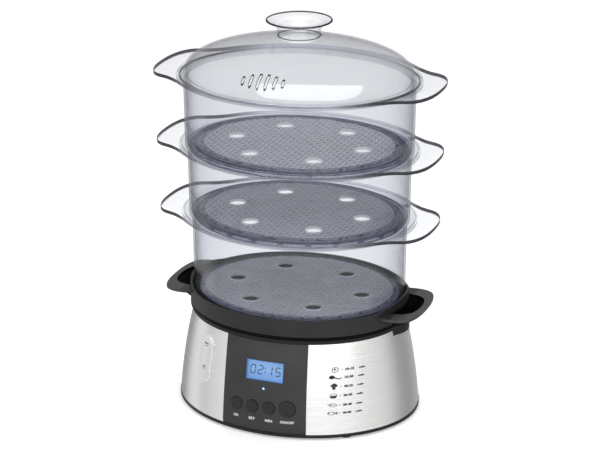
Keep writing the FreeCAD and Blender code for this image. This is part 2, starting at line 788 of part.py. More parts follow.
def panel_skin():
    """Sheet that follows the flank, bevelled along its foot."""
    inner = -STEEL + PANEL_BACK_GAP
    foot_r = shell_r(PANEL_Z0)
    bevel = chain(
        (foot_r + inner, PANEL_Z0), (foot_r + PANEL_BEVEL_PROUD, PANEL_Z0),
        (shell_r(PANEL_BEVEL_Z) + PANEL_PROUD, PANEL_BEVEL_Z),
    )
    top = chain((shell_r(SHELL_Z1) + PANEL_PROUD, SHELL_Z1), (shell_r(SHELL_Z1) + inner, SHELL_Z1))
    face = flank(PANEL_PROUD, PANEL_BEVEL_Z, SHELL_Z1)
    skin = narrowed(turned_outline(bevel, face, top, flank(inner, PANEL_Z0, SHELL_Z1)))
    return skin.common(panel_wedge(0, SHELL_Z0 - PAST, SHELL_Z1 + PAST))


def panel_openings():
    """Holes in the panel for the buttons, the display, the lamp and the board's screws."""
    deep = PANEL_SEAT + PANEL_PROUD
    cuts = []
    for name, x, z, radius in BUTTONS:
        u, n = on_panel(x, z)
        cuts.append(PANEL.rod(radius + BUTTON_GAP, x, u, n - deep, n + deep))
    u, n = on_panel(LCD_X, LCD_Z)
    cuts.append(PANEL.block(LCD_X, u, LCD_WIDTH, LCD_HEIGHT, n - deep, n + deep))
    u, n = on_panel(LAMP_X, LAMP_Z)
    cuts.append(PANEL.rod(LAMP_R, LAMP_X, u, n - deep, n + deep))
    for x, u in board_posts():
        cuts.append(PANEL.rod(PILOT_R, x, u, -BOARD_DEPTH - PAST, -BOARD_DEPTH + BOARD_SCREW_DEPTH + PAST))
    return cuts


def control_panel():
    """Charcoal panel with four posts for the timer board behind it."""
    inside = flank_core(-STEEL + PANEL_BACK_GAP, SHELL_Z0, SHELL_Z1)
    posts = [PANEL.rod(POST_R, x, u, -BOARD_DEPTH, 0).common(inside) for x, u in board_posts()]
    return panel_skin().fuse(posts).cut(panel_openings())


def lcd_window():
    """Clear pane set back in the panel."""
    u, n = on_panel(LCD_X, LCD_Z)
    top = n - LCD_RECESS
    return PANEL.block(LCD_X, u, LCD_WIDTH, LCD_HEIGHT, top - LCD_WINDOW, top)


def lcd_module():
    """Display cell with its backlight, standing on the board."""
    u, n = on_panel(LCD_X, LCD_Z)
    width = LCD_WIDTH + 2 * LCD_FRAME
    height = LCD_HEIGHT + 2 * LCD_FRAME
    return PANEL.block(LCD_X, u, width, height, -BOARD_DEPTH, n - LCD_RECESS - LCD_WINDOW)


def indicator_lens():
    """Small clear lens of the pilot lamp."""
    u, n = on_panel(LAMP_X, LAMP_Z)
    return PANEL.rod(LAMP_R, LAMP_X, u, n + LAMP_PROUD - LAMP_LENGTH, n + LAMP_PROUD)


def indicator_led():
    """Pilot lamp behind its lens."""
    u, n = on_panel(LAMP_X, LAMP_Z)
    return PANEL.rod(LED_R, LAMP_X, u, -BOARD_DEPTH, n + LAMP_PROUD - LAMP_LENGTH - LED_GAP)


def control_board():
    """Timer board on the panel's posts."""
    low = PANEL.height(panel_point(0, BOARD_LOW_Z))
    high = PANEL.height(panel_point(0, BOARD_HIGH_Z))
    back = -BOARD_DEPTH - BOARD_THICK
    board = PANEL.block(0, (low + high) / 2, 2 * BOARD_HALF, high - low, back, -BOARD_DEPTH)
    holes = [PANEL.rod(BOARD_HOLE_R, x, u, back - PAST, -BOARD_DEPTH + PAST) for x, u in board_posts()]
    return board.cut(holes)


def control_board_screws():
    """Four screws that hold the timer board to the panel."""
    screws = []
    back = -BOARD_DEPTH - BOARD_THICK
    for x, u in board_posts():
        head = PANEL.rod(BOARD_SCREW_HEAD_R, x, u, back - BOARD_SCREW_HEAD, back)
        screws.append(head.fuse(PANEL.rod(PILOT_R, x, u, back, -BOARD_DEPTH + BOARD_SCREW_DEPTH)))
    return Part.makeCompound(screws)


def tact_switches():
    """One push switch on the board behind each button."""
    switches = []
    for name, x, z, radius in BUTTONS:
        u, n = on_panel(x, z)
        top = -BOARD_DEPTH + SWITCH_BODY
        body = PANEL.block(x, u, SWITCH_SIZE, SWITCH_SIZE, -BOARD_DEPTH, top)
        switches.append(body.fuse(PANEL.rod(SWITCH_PIN_R, x, u, top, -SWITCH_TIP)))
    return Part.makeCompound(switches)


def push_button(x, z, radius):
    """Button cap that follows the panel's curve, with a flange and a stem."""
    u, n = on_panel(x, z)
    flange_top = n - BUTTON_FLANGE_DEPTH
    face = flank_core(PANEL_PROUD + BUTTON_PROUD, z - 2 * radius, z + 2 * radius)
    cap = PANEL.rod(radius, x, u, flange_top, n + PANEL_SEAT).common(face)
    flange = PANEL.rod(radius + BUTTON_FLANGE, x, u, flange_top - BUTTON_FLANGE, flange_top)
    stem = PANEL.rod(BUTTON_STEM_R, x, u, -BUTTON_STEM_TIP, flange_top - BUTTON_FLANGE)
    return cap.fuse([flange, stem])


# ---- base: water gauge --------------------------------------------------------
def gauge_window():
    """Clear slot-shaped window with a lip on the steel and a hollow for the float."""
    width = GAUGE_WIDTH - 2 * GAUGE_LIP
    height = GAUGE_HEIGHT - 2 * GAUGE_LIP
    lip = GAUGE.stadium(GAUGE_WIDTH, GAUGE_HEIGHT, GAUGE_SEAT, GAUGE_PROUD)
    plug = GAUGE.stadium(width, height, -GAUGE_PLUG, GAUGE_SEAT)
    hollow_top = GAUGE_PROUD - GAUGE_FACE
    hollow = GAUGE.stadium(width - 2 * WALL, height - 2 * WALL, -GAUGE_PLUG - PAST, hollow_top)
    return lip.fuse(plug).cut(hollow)


def gauge_chamber():
    """Float chamber behind the window with two ducts into the tank."""
    width = GAUGE_WIDTH - 2 * GAUGE_LIP
    height = GAUGE_HEIGHT - 2 * GAUGE_LIP
    body = GAUGE.stadium(width, height, -GAUGE_DEPTH - WALL, -GAUGE_PLUG)
    ducts = []
    cuts = [GAUGE.stadium(width - 2 * WALL, height - 2 * WALL, -GAUGE_DEPTH, 1)]
    for u in (-GAUGE_DUCT_U, GAUGE_DUCT_U):
        ducts.append(GAUGE.rod(GAUGE_DUCT_R, 0, u, -GAUGE_DUCT_END, -GAUGE_DEPTH - WALL))
        cuts.append(GAUGE.rod(GAUGE_DUCT_BORE, 0, u, -GAUGE_DUCT_END - PAST, -GAUGE_DEPTH + PAST))
    return body.fuse(ducts).cut(cuts)


def gauge_float():
    """Ball that shows the water level."""
    floor_u = -(GAUGE_HEIGHT / 2 - GAUGE_LIP - WALL)
    rest_u = floor_u + FLOAT_R + FIT
    return GAUGE.put(Part.makeSphere(FLOAT_R, V(0, rest_u, -FLOAT_DEPTH)))


# ---- base: power side ---------------------------------------------------------
def power_board_corners():
    """Fixing places of the power board."""
    low = POWER_X0 + POWER_INSET
    high = POWER_X1 - POWER_INSET
    half = POWER_HALF - POWER_INSET
    return [(low, -half), (low, half), (high, -half), (high, half)]


def power_board():
    """Board that carries the mains parts."""
    board = block(POWER_X0, POWER_X1, -POWER_HALF, POWER_HALF, POWER_Z, POWER_Z + BOARD_THICK)
    top = POWER_Z + BOARD_THICK + PAST
    holes = [rod(BOARD_HOLE_R, x, y, POWER_Z - PAST, top) for x, y in power_board_corners()]
    return board.cut(holes)


def power_board_screws():
    """Four screws that hold the power board to its posts."""
    top = POWER_Z + BOARD_THICK
    screws = []
    for x, y in power_board_corners():
        head = rod(BOARD_SCREW_HEAD_R, x, y, top, top + BOARD_SCREW_HEAD)
        screws.append(head.fuse(rod(PILOT_R, x, y, top - BOARD_SCREW_DEPTH, top)))
    return Part.makeCompound(screws)


def on_power_board(x, y, width, depth, height):
    """Box standing on the power board, centred on (x, y)."""
    z = POWER_Z + BOARD_THICK
    return block(x - width / 2, x + width / 2, y - depth / 2, y + depth / 2, z, z + height)


def terminal_block():
    """Screw terminal block with a row of wells."""
    body = on_power_board(TERMINAL_X, TERMINAL_Y, TERMINAL_WIDTH, TERMINAL_LENGTH, TERMINAL_HEIGHT)
    top = POWER_Z + BOARD_THICK + TERMINAL_HEIGHT
    wells = []
    for index in range(TERMINAL_WELLS):
        y = TERMINAL_Y + TERMINAL_PITCH * (index - (TERMINAL_WELLS - PAST) / 2)
        wells.append(rod(TERMINAL_WELL_R, TERMINAL_X, y, top - TERMINAL_WELL_DEPTH, top + PAST))
    return body.cut(wells)


def bent_path(points, bend):
    """Wire through the points with every inner corner rounded."""
    edges = []
    start = points[0]
    for before, corner, after in zip(points, points[1:], points[2:]):
        into = (corner - before).normalize()
        away = (after - corner).normalize()
        half_turn = into.getAngle(away) / 2
        setback = bend * math.tan(half_turn)
        arc_start = corner - into * setback
        arc_end = corner + away * setback
        inward = (away - into).normalize()
        middle = corner + inward * (bend / math.cos(half_turn) - bend)
        edges.append(Part.makeLine(start, arc_start))
        edges.append(Part.Arc(arc_start, middle, arc_end).toShape())
        start = arc_end
    edges.append(Part.makeLine(start, points[-1]))
    return Part.Wire(edges)


def heater_leads():
    """Two insulated wires from the element's pins to the terminal block."""
    leads = []
    for (x, y), target in zip(element_ends(), LEAD_ENTRIES):
        start = V(x, y, ELEMENT_PIN_Z)
        end = V(TERMINAL_X - TERMINAL_WIDTH / 2, target, LEAD_Z)
        path = bent_path([start, V(x, y, LEAD_Z), end - V(LEAD_STRAIGHT, 0, 0), end], LEAD_BEND)
        ring = Part.Wire(Part.makeCircle(LEAD_R, start, V(0, 0, -1)))
        leads.append(path.makePipeShell([ring], True, False))
    return Part.makeCompound(leads)


def board_ribbon():
    """Flat cable, on edge, from the power board to the timer board."""
    half = RIBBON_THICK / 2
    low = POWER_Z + BOARD_THICK
    z0 = low + RIBBON_LIFT
    left = [V(x - half, y, z0) for x, y in RIBBON_ROUTE]
    right = [V(x + half, y, z0) for x, y in reversed(RIBBON_ROUTE)]
    corners = left + right
    tape = Part.Face(Part.makePolygon(corners + corners[:1])).extrude(V(0, 0, RIBBON_WIDTH))
    first = on_power_board(PLUG_X, PLUG_Y, PLUG_LENGTH, PLUG_DEPTH, RIBBON_WIDTH + 2 * RIBBON_LIFT)
    back = -BOARD_DEPTH - BOARD_THICK
    x, y = RIBBON_ROUTE[-1]
    u = PANEL.height(V(0, y, z0 + RIBBON_WIDTH / 2))
    second = PANEL.block(x, u, PANEL_PLUG_LENGTH, RIBBON_WIDTH + RIBBON_LIFT, back - PLUG_DEPTH, back)
    return tape.fuse([first, second])


def cable_gland():
    """Bushing in the rear wall where the mains cord passes."""
    back = V(0, 1, 0)
    start = V(0, GLAND_Y0, GLAND_Z)
    sleeve = Part.makeCylinder(GLAND_R, GLAND_Y1 - GLAND_Y0, start, back)
    rear = V(0, GLAND_Y1 - GLAND_FLANGE, GLAND_Z)
    flange = Part.makeCylinder(GLAND_FLANGE_R, GLAND_FLANGE, rear, back)
    collar = Part.makeCylinder(GLAND_COLLAR_R, GLAND_FLANGE, start, back)
    bore = Part.makeCylinder(GLAND_BORE, GLAND_Y1 - GLAND_Y0 + 2, start - back, back)
    return sleeve.fuse([flange, collar]).removeSplitter().cut(bore)


# ---- steam ring and drip tray -------------------------------------------------
def steam_ring():
    """Loose sleeve that gathers the water round the heater, arched at its foot."""
    ring = bored_rod(STEAM_RING_R, STEAM_RING_R - WALL, 0, 0, TANK_FLOOR_Z, STEAM_RING_TOP)
    reach = STEAM_RING_R + PAST
    top = TANK_FLOOR_Z + STEAM_ARCH_HEIGHT
    arches = []
    for index in range(STEAM_ARCHES):
        arch = block(-reach, reach, -STEAM_ARCH_HALF, STEAM_ARCH_HALF, TANK_FLOOR_Z - PAST, top)
        arch.rotate(V(0, 0, 0), UP, 180.0 * index / STEAM_ARCHES)
        arches.append(arch)
    return ring.cut(arches)


def grown(points, step):
    """Outline moved outward by a wall thickness."""
    return [(x + step, y + step if y > 0 else 0.0) for x, y in points]


def scoop_funnel(margin, z0, z1):
    """Tapered form from a scoop's mouth down to its foot."""
    wires = []
    for outline, z in ((SCOOP_FOOT_OUTLINE, z0), (SCOOP_MOUTH_OUTLINE, z1)):
        faces = outline_prism(grown(moved_out(outline, TRAY_R), margin), z, z + 1).Faces
        flat = [face for face in faces if abs(face.CenterOfMass.z - z) < 0.01][0]
        wires.append(flat.OuterWire)
    return Part.makeLoft(wires, True, True)


def tray_body():
    """Wall, ledge, juice floor and chimney of the drip tray."""
    z0 = TANK_RIM_TOP
    inner = TRAY_R - TRAY_WALL
    skirt_in = TRAY_SKIRT_R - WALL
    low = z0 - TRAY_SKIRT_DROP
    chimney_in = CHIMNEY_R - WALL
    return oval([
        (TRAY_R, z0), (TRAY_R, TRAY_LEDGE_Z), (TRAY_LEDGE_R, TRAY_LEDGE_Z),
        (TRAY_LEDGE_R, TRAY_LEDGE_Z - TRAY_LEDGE),
        (inner, TRAY_LEDGE_Z - TRAY_LEDGE), (inner, z0 + TRAY_FLOOR), (skirt_in, z0 + TRAY_FLOOR),
        (skirt_in, low + TRAY_FLOOR), (CHIMNEY_R, low + TRAY_FLOOR), (CHIMNEY_R, CHIMNEY_TOP),
        (0, CHIMNEY_TOP), (0, CHIMNEY_TOP - WALL), (chimney_in, CHIMNEY_TOP - WALL),
        (chimney_in, low), (TRAY_SKIRT_R, low), (TRAY_SKIRT_R, z0),
    ])


def scoops():
    """The two refill scoops outside the tray's wall."""
    z0 = TANK_RIM_TOP
    under_lip = TRAY_LEDGE_Z - SCOOP_LIP
    core = oval_disc(TRAY_R - FIT, z0 - PAST, TRAY_LEDGE_Z + PAST)
    lip = outline_prism(moved_out(SCOOP_LIP_OUTLINE, TRAY_R), under_lip, TRAY_LEDGE_Z).cut(core)
    funnel = scoop_funnel(SCOOP_WALL, z0, under_lip).cut(core)
    return both_sides(lip) + both_sides(funnel)


def scoop_hollows():
    """What is taken out of the scoops: the funnels and a drain at each foot."""
    z0 = TANK_RIM_TOP
    under_lip = TRAY_LEDGE_Z - SCOOP_LIP
    hollow = scoop_funnel(0, z0 + TRAY_FLOOR, under_lip)
    mouth = outline_prism(moved_out(SCOOP_MOUTH_OUTLINE, TRAY_R), under_lip - PAST / 2, TRAY_LEDGE_Z + PAST)
    outside = oval_disc(TRAY_R, z0 - PAST, TRAY_LEDGE_Z + 2)
    near = TRAY_R + FIT
    half = SCOOP_DRAIN_HALF
    drain = block(near, near + SCOOP_DRAIN_WIDTH, -half, half, z0 - PAST, z0 + TRAY_FLOOR + PAST)
    return both_sides(hollow.fuse([mouth]).cut(outside)) + both_sides(drain)


def chimney_slots():
    """Slots in the top of the chimney."""
    slots = []
    for x, y, angle in polar(CHIMNEY_SLOTS, (CHIMNEY_R - WALL) * CHIMNEY_SLOT_PLACE):
        length = CHIMNEY_SLOT_LENGTH
        width = CHIMNEY_SLOT_WIDTH
        slot = Part.makeBox(length, width, 3 * WALL, V(-length / 2, -width / 2, CHIMNEY_TOP - 2 * WALL))
        slot.rotate(V(0, 0, 0), UP, angle)
        slot.translate(V(x, y, 0))
        slots.append(slot)
    return slots


def drip_tray():
    """Black tray under the bowls with a refill scoop at each end."""
    return tray_body().fuse(scoops()).cut(scoop_hollows() + chimney_slots())


def scoop_collar(side):
    """Raised wall that keeps refill water off the lowest bowl."""
    end = block(0, side * BOTTOM_R, -SCOOP_HALF, SCOOP_HALF, 0, TOTAL_HEIGHT)
    ring = oval_ring(TRAY_R, TRAY_R - TRAY_WALL, TRAY_LEDGE_Z, SCOOP_COLLAR_TOP)
    return ring.common(end)


def tray_rim(side):
    """Front or rear part of the rim that stands round the lowest bowl's foot."""
    half = block(-TRAY_R, TRAY_R, side * SCOOP_HALF, side * TRAY_R, 0, TOTAL_HEIGHT)
    ring = oval_ring(TRAY_R, TRAY_R - TRAY_WALL, TRAY_LEDGE_Z, TRAY_TOP)
    return ring.common(half)


# ---- bowls and floors ---------------------------------------------------------
def tab_points(flange_r, inset):
    """Plan outline of one bowl handle, moved inward by an inset."""
    scale = flange_r / TAB_FLANGE_R
    outline = [(flange_r + reach * scale, half * scale) for reach, half in TAB_OUTLINE]
    moved = []
    for index, (x, y) in enumerate(outline[:-1]):
        before = outline[max(0, index - 1)]
        after = outline[index + 1]
        dx = after[0] - before[0]
        dy = after[1] - before[1]
        length = math.hypot(dx, dy)
        moved.append((x + dy / length * inset, y - dx / length * inset))
    return moved + [(outline[-1][0] - inset, 0.0)]


def mouth_r(index):
    """Inner X half-length at the top of what carries a bowl, or the lid after the last."""
    if index == 0:
        return TRAY_LEDGE_R
    return FLOOR_R + BOWLS[index - 1][3] + BOWL_DRAFT - WALL


def bowl_body(z0, z1, seat_r, spigot_r):
    """Wall, open ledge and spigot of a bowl, up to its flange."""
    top_r = seat_r + BOWL_DRAFT
    top = z1 - RECESS_DEPTH
    spigot_in = spigot_r - SPIGOT_WALL
    return oval([
        (seat_r, z0), (top_r, top - WALL), (top_r, top), (top_r - WALL, top),
        (seat_r - WALL, z0 + LEDGE), (LEDGE_R, z0 + LEDGE), (LEDGE_R, z0), (spigot_in, z0),
        (spigot_in, z0 - SPIGOT_DROP), (spigot_r, z0 - SPIGOT_DROP), (spigot_r, z0),
    ])


def bowl_flange(index):
    """Recessed flange round the top of a bowl, with its two handles."""
    name, z0, z1, seat_out, recess_out, flange_out = BOWLS[index]
    top_r = FLOOR_R + seat_out + BOWL_DRAFT
    recess_r = FLOOR_R + recess_out
    flange_r = FLOOR_R + flange_out
    recess = z1 - RECESS_DEPTH
    ring = oval([
        (top_r, recess - WALL), (recess_r + WALL, recess - WALL), (recess_r + WALL, z1 - WALL),
        (flange_r - WALL, z1 - WALL), (flange_r - WALL, z1 - LIP_DROP), (flange_r, z1 - LIP_DROP),
        (flange_r, z1), (recess_r, z1), (recess_r, recess), (top_r, recess),
    ])
    core = oval_disc(recess_r + WALL, z0, z1 + PAST)
    tab = outline_prism(tab_points(flange_r, 0), z1 - LIP_DROP, z1).cut(core)
    pocket = outline_prism(tab_points(flange_r, WALL), z1 - LIP_DROP - PAST, z1 - WALL).cut(core)
    return ring.fuse(both_sides(tab)).cut(both_sides(pocket))


def ledge_drains(z0, radius):
    """Drain slots across a bowl's ledge, square to its oval."""
    slots = []
    for x, y, angle in polar(DRAIN_COUNT, radius):
        turn = math.radians(angle)
        slope = math.degrees(math.atan2(OVAL * math.cos(turn), -math.sin(turn)))
        corner = V(-DRAIN_LENGTH / 2, -DRAIN_WIDTH / 2, z0 - PAST)
        slot = Part.makeBox(DRAIN_LENGTH, DRAIN_WIDTH, LEDGE + 2, corner)
        slot.rotate(V(0, 0, 0), UP, slope)
        slot.translate(V(x, y, 0))
        slots.append(slot)
    return slots


def bowl(index):
    """Clear oval bowl, with a drained rib round its floor where there is room."""
    name, z0, z1, seat_out, recess_out, flange_out = BOWLS[index]
    seat_r = FLOOR_R + seat_out
    spigot_r = mouth_r(index) - SPIGOT_GAP
    body = bowl_body(z0, z1, seat_r, spigot_r)
    if seat_r - WALL <= RIB_R + RIB_ROOM:
        return body
    rib = oval_ring(RIB_R + RIB_THICK, RIB_R, z0 + LEDGE / 2, z0 + LEDGE + RIB_HEIGHT)
    drain_r = (RIB_R + RIB_THICK + spigot_r - SPIGOT_WALL) / 2
    return body.fuse(rib).cut(ledge_drains(z0, drain_r))


def floor_slots(z0):
    """Herringbone slots and the six egg holes of a floor."""
    tools = []
    reach = FLOOR_R - FLOOR_BAND - SLOT_LENGTH / 2
    steps = int(FLOOR_R / SLOT_PITCH) + 1
    eggs = polar(EGG_COUNT, EGG_RING_R)
    for i in range(-steps, steps + 1):
        for j in range(-steps, steps + 1):
            x = i * SLOT_PITCH
            y = j * SLOT_PITCH
            if math.hypot(x, y / OVAL) > reach:
                continue
            if min(math.hypot(x - ex, y - ey) for ex, ey, _ in eggs) < EGG_R + EGG_WALL + SLOT_LENGTH / 2:
                continue
            corner = V(-SLOT_LENGTH / 2, -SLOT_WIDTH / 2, z0 - PAST)
            slot = Part.makeBox(SLOT_LENGTH, SLOT_WIDTH, 2 * FLOOR_HEIGHT, corner)
            slot.rotate(V(0, 0, 0), UP, 45 if (i + j) % 2 else -45)
            slot.translate(V(x, y, 0))
            tools.append(slot)
    tools += [rod(EGG_R, x, y, z0 - PAST, z0 + 2 * FLOOR_HEIGHT) for x, y, _ in eggs]
    return Part.makeCompound(tools)


def lift_floor():
    """Slotted floor that rests on a bowl's ledge, drawn with its underside at z = 0."""
    plate = oval_disc(FLOOR_R, 0, FLOOR_THICK)
    rim = oval_ring(FLOOR_R, FLOOR_R - FLOOR_RIM, 0, FLOOR_HEIGHT)
    bead_r = FLOOR_R - FLOOR_BAND
    bead = oval_ring(bead_r + FLOOR_RIM, bead_r, 0, FLOOR_HEIGHT)
    seats = [rod(EGG_R + EGG_WALL, x, y, 0, FLOOR_HEIGHT) for x, y, _ in polar(EGG_COUNT, EGG_RING_R)]
    return plate.fuse([rim, bead] + seats).cut(floor_slots(0))


# ---- lid ----------------------------------------------------------------------
def dome_outline(radius, rise):
    """Half outline of the dome from its rim up to the boss."""
    points = []
    for share in DOME_SHARES:
        z = DOME_BASE_Z + rise * (1 - share ** DOME_SHOULDER) ** DOME_POWER
        points.append((radius * share, z))
    return points


def lid_vents():
    """Row of upright slot cutters that follow the front of the dome."""
    middle = (len(VENT_LENGTHS) - 1) / 2
    radius = VENT_WIDTH / 2
    low = DOME_BASE_Z + LID_RIM
    vents = []
    for index, length in enumerate(VENT_LENGTHS):
        x = VENT_X + (index - middle) * VENT_SPACING
        half = length / 2 - radius
        slot = block(x - radius, x + radius, VENT_Y - half, VENT_Y + half, low, BOSS_TOP)
        ends = [rod(radius, x, y, low, BOSS_TOP) for y in (VENT_Y - half, VENT_Y + half)]
        vents.append(slot.fuse(ends))
    return vents


def lid_rim():
    """Seated rim of the lid with its spigot."""
    seat = BOWLS[-1][2] - RECESS_DEPTH
    spigot_r = mouth_r(len(BOWLS)) - SPIGOT_GAP
    spigot_in = spigot_r - SPIGOT_WALL
    return oval([
        (spigot_r, seat - SPIGOT_DROP), (spigot_r, seat), (LID_R, seat), (LID_R, seat + LID_RIM),
        (spigot_in, seat + LID_RIM), (spigot_in, seat - SPIGOT_DROP),
    ])


def lid_boss():
    """Round boss that carries the knob."""
    foot = BOSS_TOP - BOSS_FOOT_DROP
    plug_r = BOSS_R - BOSS_STEP
    top = BOSS_TOP + BOSS_PLUG
    return turned([
        (BOSS_FOOT_R, foot), (BOSS_R + BOSS_FLARE, BOSS_TOP - BOSS_FLARE_DROP), (BOSS_R, BOSS_TOP),
        (plug_r, BOSS_TOP), (plug_r, top), (0, top),
        (0, top - BOSS_CAP), (BOSS_BORE, top - BOSS_CAP), (BOSS_BORE, foot),
    ])


def lid_dome():
    """Clear dome with a seated rim, six steam slots and the boss for the knob."""
    outer = dome_outline(DOME_R, DOME_RISE)
    inner = dome_outline(DOME_R - WALL, DOME_RISE - WALL)
    ends = [chain(outer[0], inner[0]), chain(outer[-1], inner[-1])]
    dome = narrowed(turned_outline(curve(outer), curve(inner), *ends))
    return dome.fuse([lid_rim(), lid_boss()]).cut(lid_vents())


def beside(offsets, radius, height):
    """Profile points at offsets (radius, height) from one place."""
    return [(radius + r, height + z) for r, z in offsets]


def lid_knob():
    """Clear hollow knob: flared neck under a thin dished disc."""
    top = TOTAL_HEIGHT
    hollow = top - KNOB_HOLLOW
    outer = beside(KNOB_NECK, KNOB_NECK_R, BOSS_TOP) + beside(KNOB_UNDERSIDE, KNOB_R, top)
    inner = beside(KNOB_NECK_INSIDE, KNOB_NECK_R - KNOB_WALL, BOSS_TOP)
    dish = beside(KNOB_DISH, KNOB_R, top)
    disc = chain(outer[-1], *dish, (0, hollow), (0, hollow - KNOB_WALL), inner[-1])
    return turned_outline(curve(outer), disc, curve(inner), chain(inner[0], outer[0]))


# ---- build --------------------------------------------------------------------
def parts():
    """Every node of the steamer by name."""
    made = {
        "steel_skin": steel_skin(),
        **housing_shells(),
        "deck_front": deck_half(-1),
        "deck_rear": deck_half(1),
        "base_bottom": base_bottom(),
        "rubber_feet": rubber_feet(),
        "bottom_screws": bottom_screws(),
        "water_tank": water_tank(),
        "heater_plate": heater_plate(),
        "heater_seal": heater_seal(),
        "heater_nuts": heater_nuts(),
        "heating_element": heating_element(),
        "thermostat": thermostat(),
        "thermal_fuse": thermal_fuse(),
        "control_panel": control_panel(),
        "lcd_window": lcd_window(),
        "lcd_module": lcd_module(),
        "indicator_lens": indicator_lens(),
        "indicator_led": indicator_led(),
        "control_board": control_board(),
        "control_board_screws": control_board_screws(),
        "tact_switches": tact_switches(),
        "gauge_window": gauge_window(),
        "gauge_chamber": gauge_chamber(),
        "gauge_float": gauge_float(),
        "power_board": power_board(),
        "power_board_screws": power_board_screws(),
        "relay": on_power_board(*RELAY),
        "capacitor": on_power_board(*CAPACITOR),
        "terminal_block": terminal_block(),
        "heater_leads": heater_leads(),
        "board_ribbon": board_ribbon(),
        "cable_gland": cable_gland(),
        "steam_ring": steam_ring(),
        "drip_tray": drip_tray(),
        "rim_front": tray_rim(-1),
        "rim_rear": tray_rim(1),
        "collar_left": scoop_collar(-1),
        "collar_right": scoop_collar(1),
        "lid_dome": lid_dome(),
        "lid_knob": lid_knob(),
    }
    for name, x, z, radius in BUTTONS:
        made[name] = push_button(x, z, radius)
    floor = lift_floor()
    for index, size in enumerate(BOWLS):
        made[size[0]] = bowl(index)
        made[size[0].replace("bowl", "flange")] = bowl_flange(index)
        laid = floor.copy()
        laid.translate(V(0, 0, size[1] + LEDGE))
        made[size[0].replace("bowl", "floor")] = laid
    return made


os.makedirs("parts", exist_ok=True)
for node, shape in parts().items():
    shape.exportStep("parts/" + node + ".step")
    box = shape.BoundBox
    print(node, len(shape.Solids), shape.isValid(), round(shape.Volume, 1),
          [round(v, 1) for v in (box.XMin, box.XMax, box.YMin, box.YMax, box.ZMin, box.ZMax)])
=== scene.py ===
"""Dressed model of an electric food steamer: finishes, fine detail, light and camera."""
import logging
import math
from contextlib import contextmanager
from dataclasses import dataclass, field
from enum import Enum
from functools import partial
from typing import Callable, Iterable, Iterator, Optional, Sequence

import bmesh
import bpy
from mathutils import Euler, Matrix, Vector


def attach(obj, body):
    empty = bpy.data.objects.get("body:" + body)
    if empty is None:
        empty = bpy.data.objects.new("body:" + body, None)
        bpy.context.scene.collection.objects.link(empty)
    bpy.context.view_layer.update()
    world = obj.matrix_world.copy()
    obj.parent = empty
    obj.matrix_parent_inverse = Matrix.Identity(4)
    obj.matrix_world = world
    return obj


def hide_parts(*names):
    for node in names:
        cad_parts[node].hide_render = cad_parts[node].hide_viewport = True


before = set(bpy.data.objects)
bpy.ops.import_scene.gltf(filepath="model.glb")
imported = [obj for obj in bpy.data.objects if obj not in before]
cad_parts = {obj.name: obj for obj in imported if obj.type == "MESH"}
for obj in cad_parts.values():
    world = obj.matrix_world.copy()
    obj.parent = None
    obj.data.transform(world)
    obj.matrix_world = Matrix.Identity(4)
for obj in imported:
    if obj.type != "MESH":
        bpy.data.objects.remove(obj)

LOG = logging.getLogger("steamer")
MM = 0.001
OVAL = 0.836
WIDEST = 134.0
Point2 = tuple[float, float]
Colour = tuple[float, float, float]
SQUARE = ((-1, -1), (1, -1), (1, 1), (-1, 1))


# ---- the steamer's shared form ------------------------------------------------
@dataclass(frozen=True)
class Flank:
    """Curved oval flank of the base, in millimetres."""

    z0: float = 6.0
    z1: float = 102.0
    foot: float = 130.6
    lean: float = 7.0
    bow: float = 8.1

    def radius(self, z: float) -> float:
        """Half-length along X at height z."""
        share = (z - self.z0) / (self.z1 - self.z0)
        return self.foot - self.lean * share - self.bow * share * share

    def front(self, x: float, z: float, out: float = 0.0) -> Vector:
        """Point on the front of the flank.

        Args:
            x: Place across the front.
            z: Height.
            out: Distance that the flank is moved outward.

        Returns:
            The point, in millimetres.
        """
        radius = self.radius(z) + out
        return Vector((x, -OVAL * math.sqrt(max(0.0, radius * radius - x * x)), z))


FLANK = Flank()


@dataclass(frozen=True)
class Slope:
    """Flat working frame that leans against the flank."""

    origin: Vector
    across: Vector
    up: Vector
    out: Vector

    def at(self, x: float, u: float, n: float) -> Vector:
        """World point of frame coordinates across, up and outward."""
        return self.origin + self.across * x + self.up * u + self.out * n

    def reads(self, point: Vector) -> tuple[float, float]:
        """Frame height and depth of a world point."""
        away = point - self.origin
        return away.dot(self.up), away.dot(self.out)


def panel_slope() -> Slope:
    """Frame of the timer panel."""
    height, proud, tilt = 55.0, 1.4, math.radians(8.0)
    up = Vector((0.0, math.sin(tilt), math.cos(tilt)))
    out = Vector((0.0, -math.cos(tilt), math.sin(tilt)))
    return Slope(FLANK.front(0.0, height, proud), Vector((1.0, 0.0, 0.0)), up, out)


def gauge_slope() -> Slope:
    """Frame of the water gauge."""
    x, z = -73.3, 66.0
    origin = FLANK.front(x, z)
    lean = (FLANK.radius(z - 1.0) - FLANK.radius(z + 1.0)) / 2
    out = Vector((origin.x, origin.y / OVAL ** 2, FLANK.radius(z) * lean)).normalized()
    rise = Vector((0.0, 0.0, 1.0))
    up = (rise - out * rise.dot(out)).normalized()
    return Slope(origin, up.cross(out), up, out)


PANEL = panel_slope()
GAUGE = gauge_slope()


# ---- mesh helpers -------------------------------------------------------------
def placed(name: str, data: bpy.types.ID) -> bpy.types.Object:
    """New object in the scene that shows some data."""
    made = bpy.data.objects.new(name, data)
    bpy.context.scene.collection.objects.link(made)
    return made


